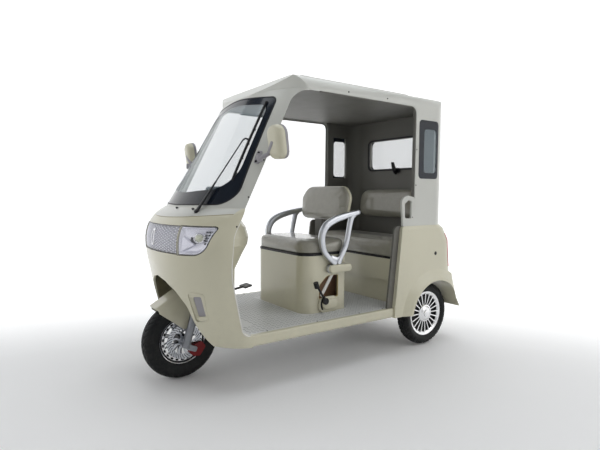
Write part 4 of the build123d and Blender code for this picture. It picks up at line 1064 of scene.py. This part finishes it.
bracket = sweep(bracket_line, oval(0.0165, 0.006, 20, 3), (0.72, -0.69, 0), size=[0.7, 1, 1, 0.7])
stub = sweep([(0.412, 0.252, 1.18), (0.436, 0.246, 1.178), (0.452, 0.24, 1.174)], oval(0.013, 0.011, 16, 3),
             (0, 0, 1))
screw_dot = layered(oval(0.0062, 0.0062, 16), [(0, -0.003), (0, 0.0012), (0.0015, 0.0024)],
                    lambda u, v, h: np.stack([u * 0.69 + h * 0.72, u * 0.72 - h * 0.69, v], axis=-1))
screw_dots = repeated(screw_dot, on_screen(np.array([0.4045, 0.41]), np.array([1.203, 1.16]), 0.0085))
lilac_parts = joined([head_rim, arm_slot, arm, knuckle, bracket, stub])
for side, way in ((1, "left"), (-1, "right")):
    for name, shape, material, slot, replaced, crease in (
            ("mirror_head_", head_shell, cream, "shell_cream", "mirror_" + way, 50),
            ("mirror_rim_", lilac_parts, lilac, "shell_cream", None, 50),
            ("mirror_glass_", head_glass, silvered, "glass_clear", None, 35),
            ("mirror_screws_", screw_dots, trim, "trim_black", None, 35)):
        piece(name + way, moved(shape, side=side), material, replaces=replaced, crease=crease)

# %% [markdown]
# ## Wiper and washer nozzles
# The arm is a flat tapering bar, and a thin steel rod holds the blade: a spine with a soft
# rubber lip under it, pulled onto the glass by claws.

# %% Wiper arm, blade and nozzles
pivot, knee = np.array([0.263, -0.01, 0.914]), np.array([0.299, 0.227, 1.272])
low, high = np.array([0.348, 0.1385, 1.064]), np.array([0.3, 0.3645, 1.477])
off_glass = (0, -1, 0.6)
share = np.linspace(0, 1, 12)[:, None]
arm_bar = sweep(pivot + (knee - pivot) * share[:6] * 0.9, oval(0.011, 0.0048, 12, 3), off_glass,
                size=np.linspace(1.25, 0.7, 6))
arm_rod = sweep(pivot + (knee - pivot) * (0.38 + 0.62 * share), oval(0.0034, 0.0034, 8), off_glass)
hook = sweep(curve_through([knee, knee + [0.01, 0.01, 0.008], (low + high) / 2 + [-0.004, -0.006, 0.004]], 8),
             oval(0.005, 0.004, 8), off_glass)
blade_line = on_screen(low[0] + (high[0] - low[0]) * share[:, 0], low[2] + (high[2] - low[2]) * share[:, 0])
spine = sweep(blade_line + [0, -0.0085, 0.003], oval(0.0062, 0.0036, 10, 3), off_glass,
              size=np.r_[0.7, np.ones(10), 0.7])
lip = sweep(blade_line + [0, -0.003, 0.001], oval(0.0022, 0.004, 8), off_glass)
claw = sweep([(0, y, 0) for y in (0.002, -0.004, -0.009, -0.012)], oval(0.0062, 0.005, 10, 4), (0, 0, 1),
             size=[1, 1, 1, 0.7])
claws = repeated(claw, blade_line[1::2] + [0, -0.001, 0])
boss = sweep(pivot + np.array([(-0.012, 0.026, -0.02), (-0.004, 0.006, -0.006), (0.002, -0.004, 0.002),
                               (0.003, -0.007, 0.004)]), oval(0.0125, 0.0125, 20), size=[1, 1, 0.9, 0.55])
piece("wiper_assembly", joined([arm_bar, arm_rod, hook, spine, lip, claws, boss]), trim,
      replaces="wiper")
nozzle = layered(oval(0.009, 0.006, 14, 2.4), [(0, -0.004), (0, 0.005), (0.003, 0.008)],
                 lambda u, v, h: np.stack([u, v - h * 0.5, h * 0.85 + v * 0.3], axis=-1))
nozzles = repeated(nozzle, on_nose(np.array([0.056, 0.214]), np.array([0.924, 0.922]), 0.001))
piece("washer_nozzles", nozzles, trim)

# %% [markdown]
# ## Handlebar
# The driver's side needs what a hand uses: ribbed grips, brake levers and a small dark
# instrument face. The bar's height follows from the steering axis, raked back.

# %% Grips, levers and instrument face
rake, bar_up, bar_back = math.radians(16), 0.795, 0.025
bar_y = 0.02 + bar_up * math.sin(rake) + bar_back * math.cos(rake)
bar_z = 0.208 + bar_up * math.cos(rake) - bar_back * math.sin(rake)
ribs = 0.0162 + 0.001 * np.abs(np.sin(np.arange(88) * 0.55))
ribs[[0, 1, 86, 87]] = [0.012, 0.0185, 0.0185, 0.012]
grip, grip_faces = turned(np.stack([np.linspace(0.142, 0.258, 88), ribs], axis=1), 28)
ring = np.arange(28)[None] * 88
grip = moved((grip, grip_faces + [ring, ring[:, ::-1] + 87]), (0, bar_y, bar_z))
piece("handlebar_grips", both(grip), grip_rubber, "steering")
lever_line = curve_through([(0.118, bar_y - 0.012, bar_z), (0.14, bar_y - 0.046, bar_z - 0.004),
                            (0.19, bar_y - 0.058, bar_z - 0.008), (0.246, bar_y - 0.052, bar_z - 0.006)], 22)
lever = sweep(lever_line, oval(0.0042, 0.0065, 12, 2.6), (0, 0, 1),
              size=np.r_[1.5, 1.4, 1.2, np.ones(17), 1.15, 0.8])
perch = sweep([(x, bar_y, bar_z) for x in (0.1, 0.104, 0.128, 0.132)], oval(0.0175, 0.0175, 18, 2.8),
              (0, 0, 1), size=[0.85, 1, 1, 0.85])
piece("brake_levers", both(lever, perch), trim, "steering", crease=45)
face_y, face_z = 0.262, 1.026
face = layered(rounded_box(-0.086, 0.086, -0.03, 0.03, (0.014, 0.014, 0.018, 0.018), 7, 3),
               [(0, -0.004), (0, 0.0035), (0.002, 0.005), (0.006, 0.0052)],
               lambda u, v, h: np.stack([u, face_y + v * 0.93 + h * 0.22, face_z - v * 0.27 + h * 0.97],
                                        axis=-1))
piece("instrument_face", face, frit, "steering")

# %% [markdown]
# ## Vents, tail lamps, latch and lock
# The vents in the leg shields have bevelled frames. A tail lamp's red lens wraps round the
# body's rear corner, the rear window has a latch inside, and a small flap a lock.

# %% Leg shield vents and their frames
# The insert stands darker than the cream in each recess: partly the insert's own lilac-grey plastic, partly
# painted shade for the recess's depth.
insert = round_outline([(0.281, 0.393, 0.008), (0.338, 0.404, 0.008), (0.332, 0.508, 0.008),
                        (0.274, 0.497, 0.01)], 6, 3)
vent = layered(insert, [(0, -0.0095), (0.003, -0.0085), (0.006, -0.0082)], on_nose)
piece("leg_shield_vents", both(vent), lilac)
frame_out = round_outline([(0.296, 0.376, 0.012), (0.352, 0.384, 0.01), (0.358, 0.52, 0.016),
                           (0.268, 0.524, 0.022)], 6, 5)
frame_in = round_outline([(0.294, 0.398, 0.008), (0.337, 0.405, 0.008), (0.333, 0.504, 0.008),
                          (0.284, 0.497, 0.01)], 6, 5)
share = np.array([0, 0.04, 0.14, 0.32, 0.8, 1, 1, 0.5, 0])[:, None, None]
level = np.array([-0.002, 0.0025, 0.0038, 0.0038, -0.003, -0.004, -0.0092, -0.0092, -0.006])
loops = frame_out + (frame_in - frame_out) * share
bezel = (on_nose(loops[..., 0], loops[..., 1], level[:, None] * np.ones(len(frame_out))),
         [grid_faces(len(level), len(frame_out), True, True)])
piece("vent_bezels", both(bezel), cream)

# %% Tail lamp lenses on the rear corners
tail_heights, tail_r = [0.462, 0.7, 0.784], 0.11


def on_tail_corner(u, v, h):
    """The lower body's rear corner: u is the arc length from its side, v the height."""
    side = np.interp(v, tail_heights, [0.461, 0.459, 0.458]) - tail_r
    back = np.interp(v, tail_heights, [1.768, 1.746, 1.694]) - tail_r
    angle = u / tail_r
    return np.stack([side + (tail_r + h) * np.cos(angle), back + (tail_r + h) * np.sin(angle), v], axis=-1)


wrap_loop = rounded_box(0.05, 0.154, 0.518, 0.746, 0.016, 6, 8)
wrap = band(wrap_loop, wrap_loop * 0.05 + [0.097, 0.6], on_tail_corner, 0.003, -0.004, 12)
piece("tail_lamp_lenses", both(wrap), red_lens, replaces="tail_lamps")

# %% Latch of the rear window and lock of the side flap
latch_base = layered(oval(0.032, 0.018, 20, 3) + [0.04, 1.176], [(0, 0), (0, 0.004), (0.002, 0.006)],
                     flat_on("y", back_wall_inside, -1))
latch_line = curve_through([(0.04, 1.624, 1.16), (0.038, 1.606, 1.176), (0.034, 1.596, 1.205),
                            (0.026, 1.596, 1.232)], 14)
latch_grip = sweep(latch_line, oval(0.016, 0.009, 12, 3), size=np.linspace(1.2, 0.8, 14))
piece("rear_window_latch", joined([latch_base, latch_grip]), trim)
lock = layered(oval(0.012, 0.012, 24) + [1.556, 0.62], [(0, -0.004), (0, 0.001), (0.002, 0.0025),
                                                        (0.006, 0.0028)], flat_on("x", 0.459))
piece("side_flap_lock", lock, trim)
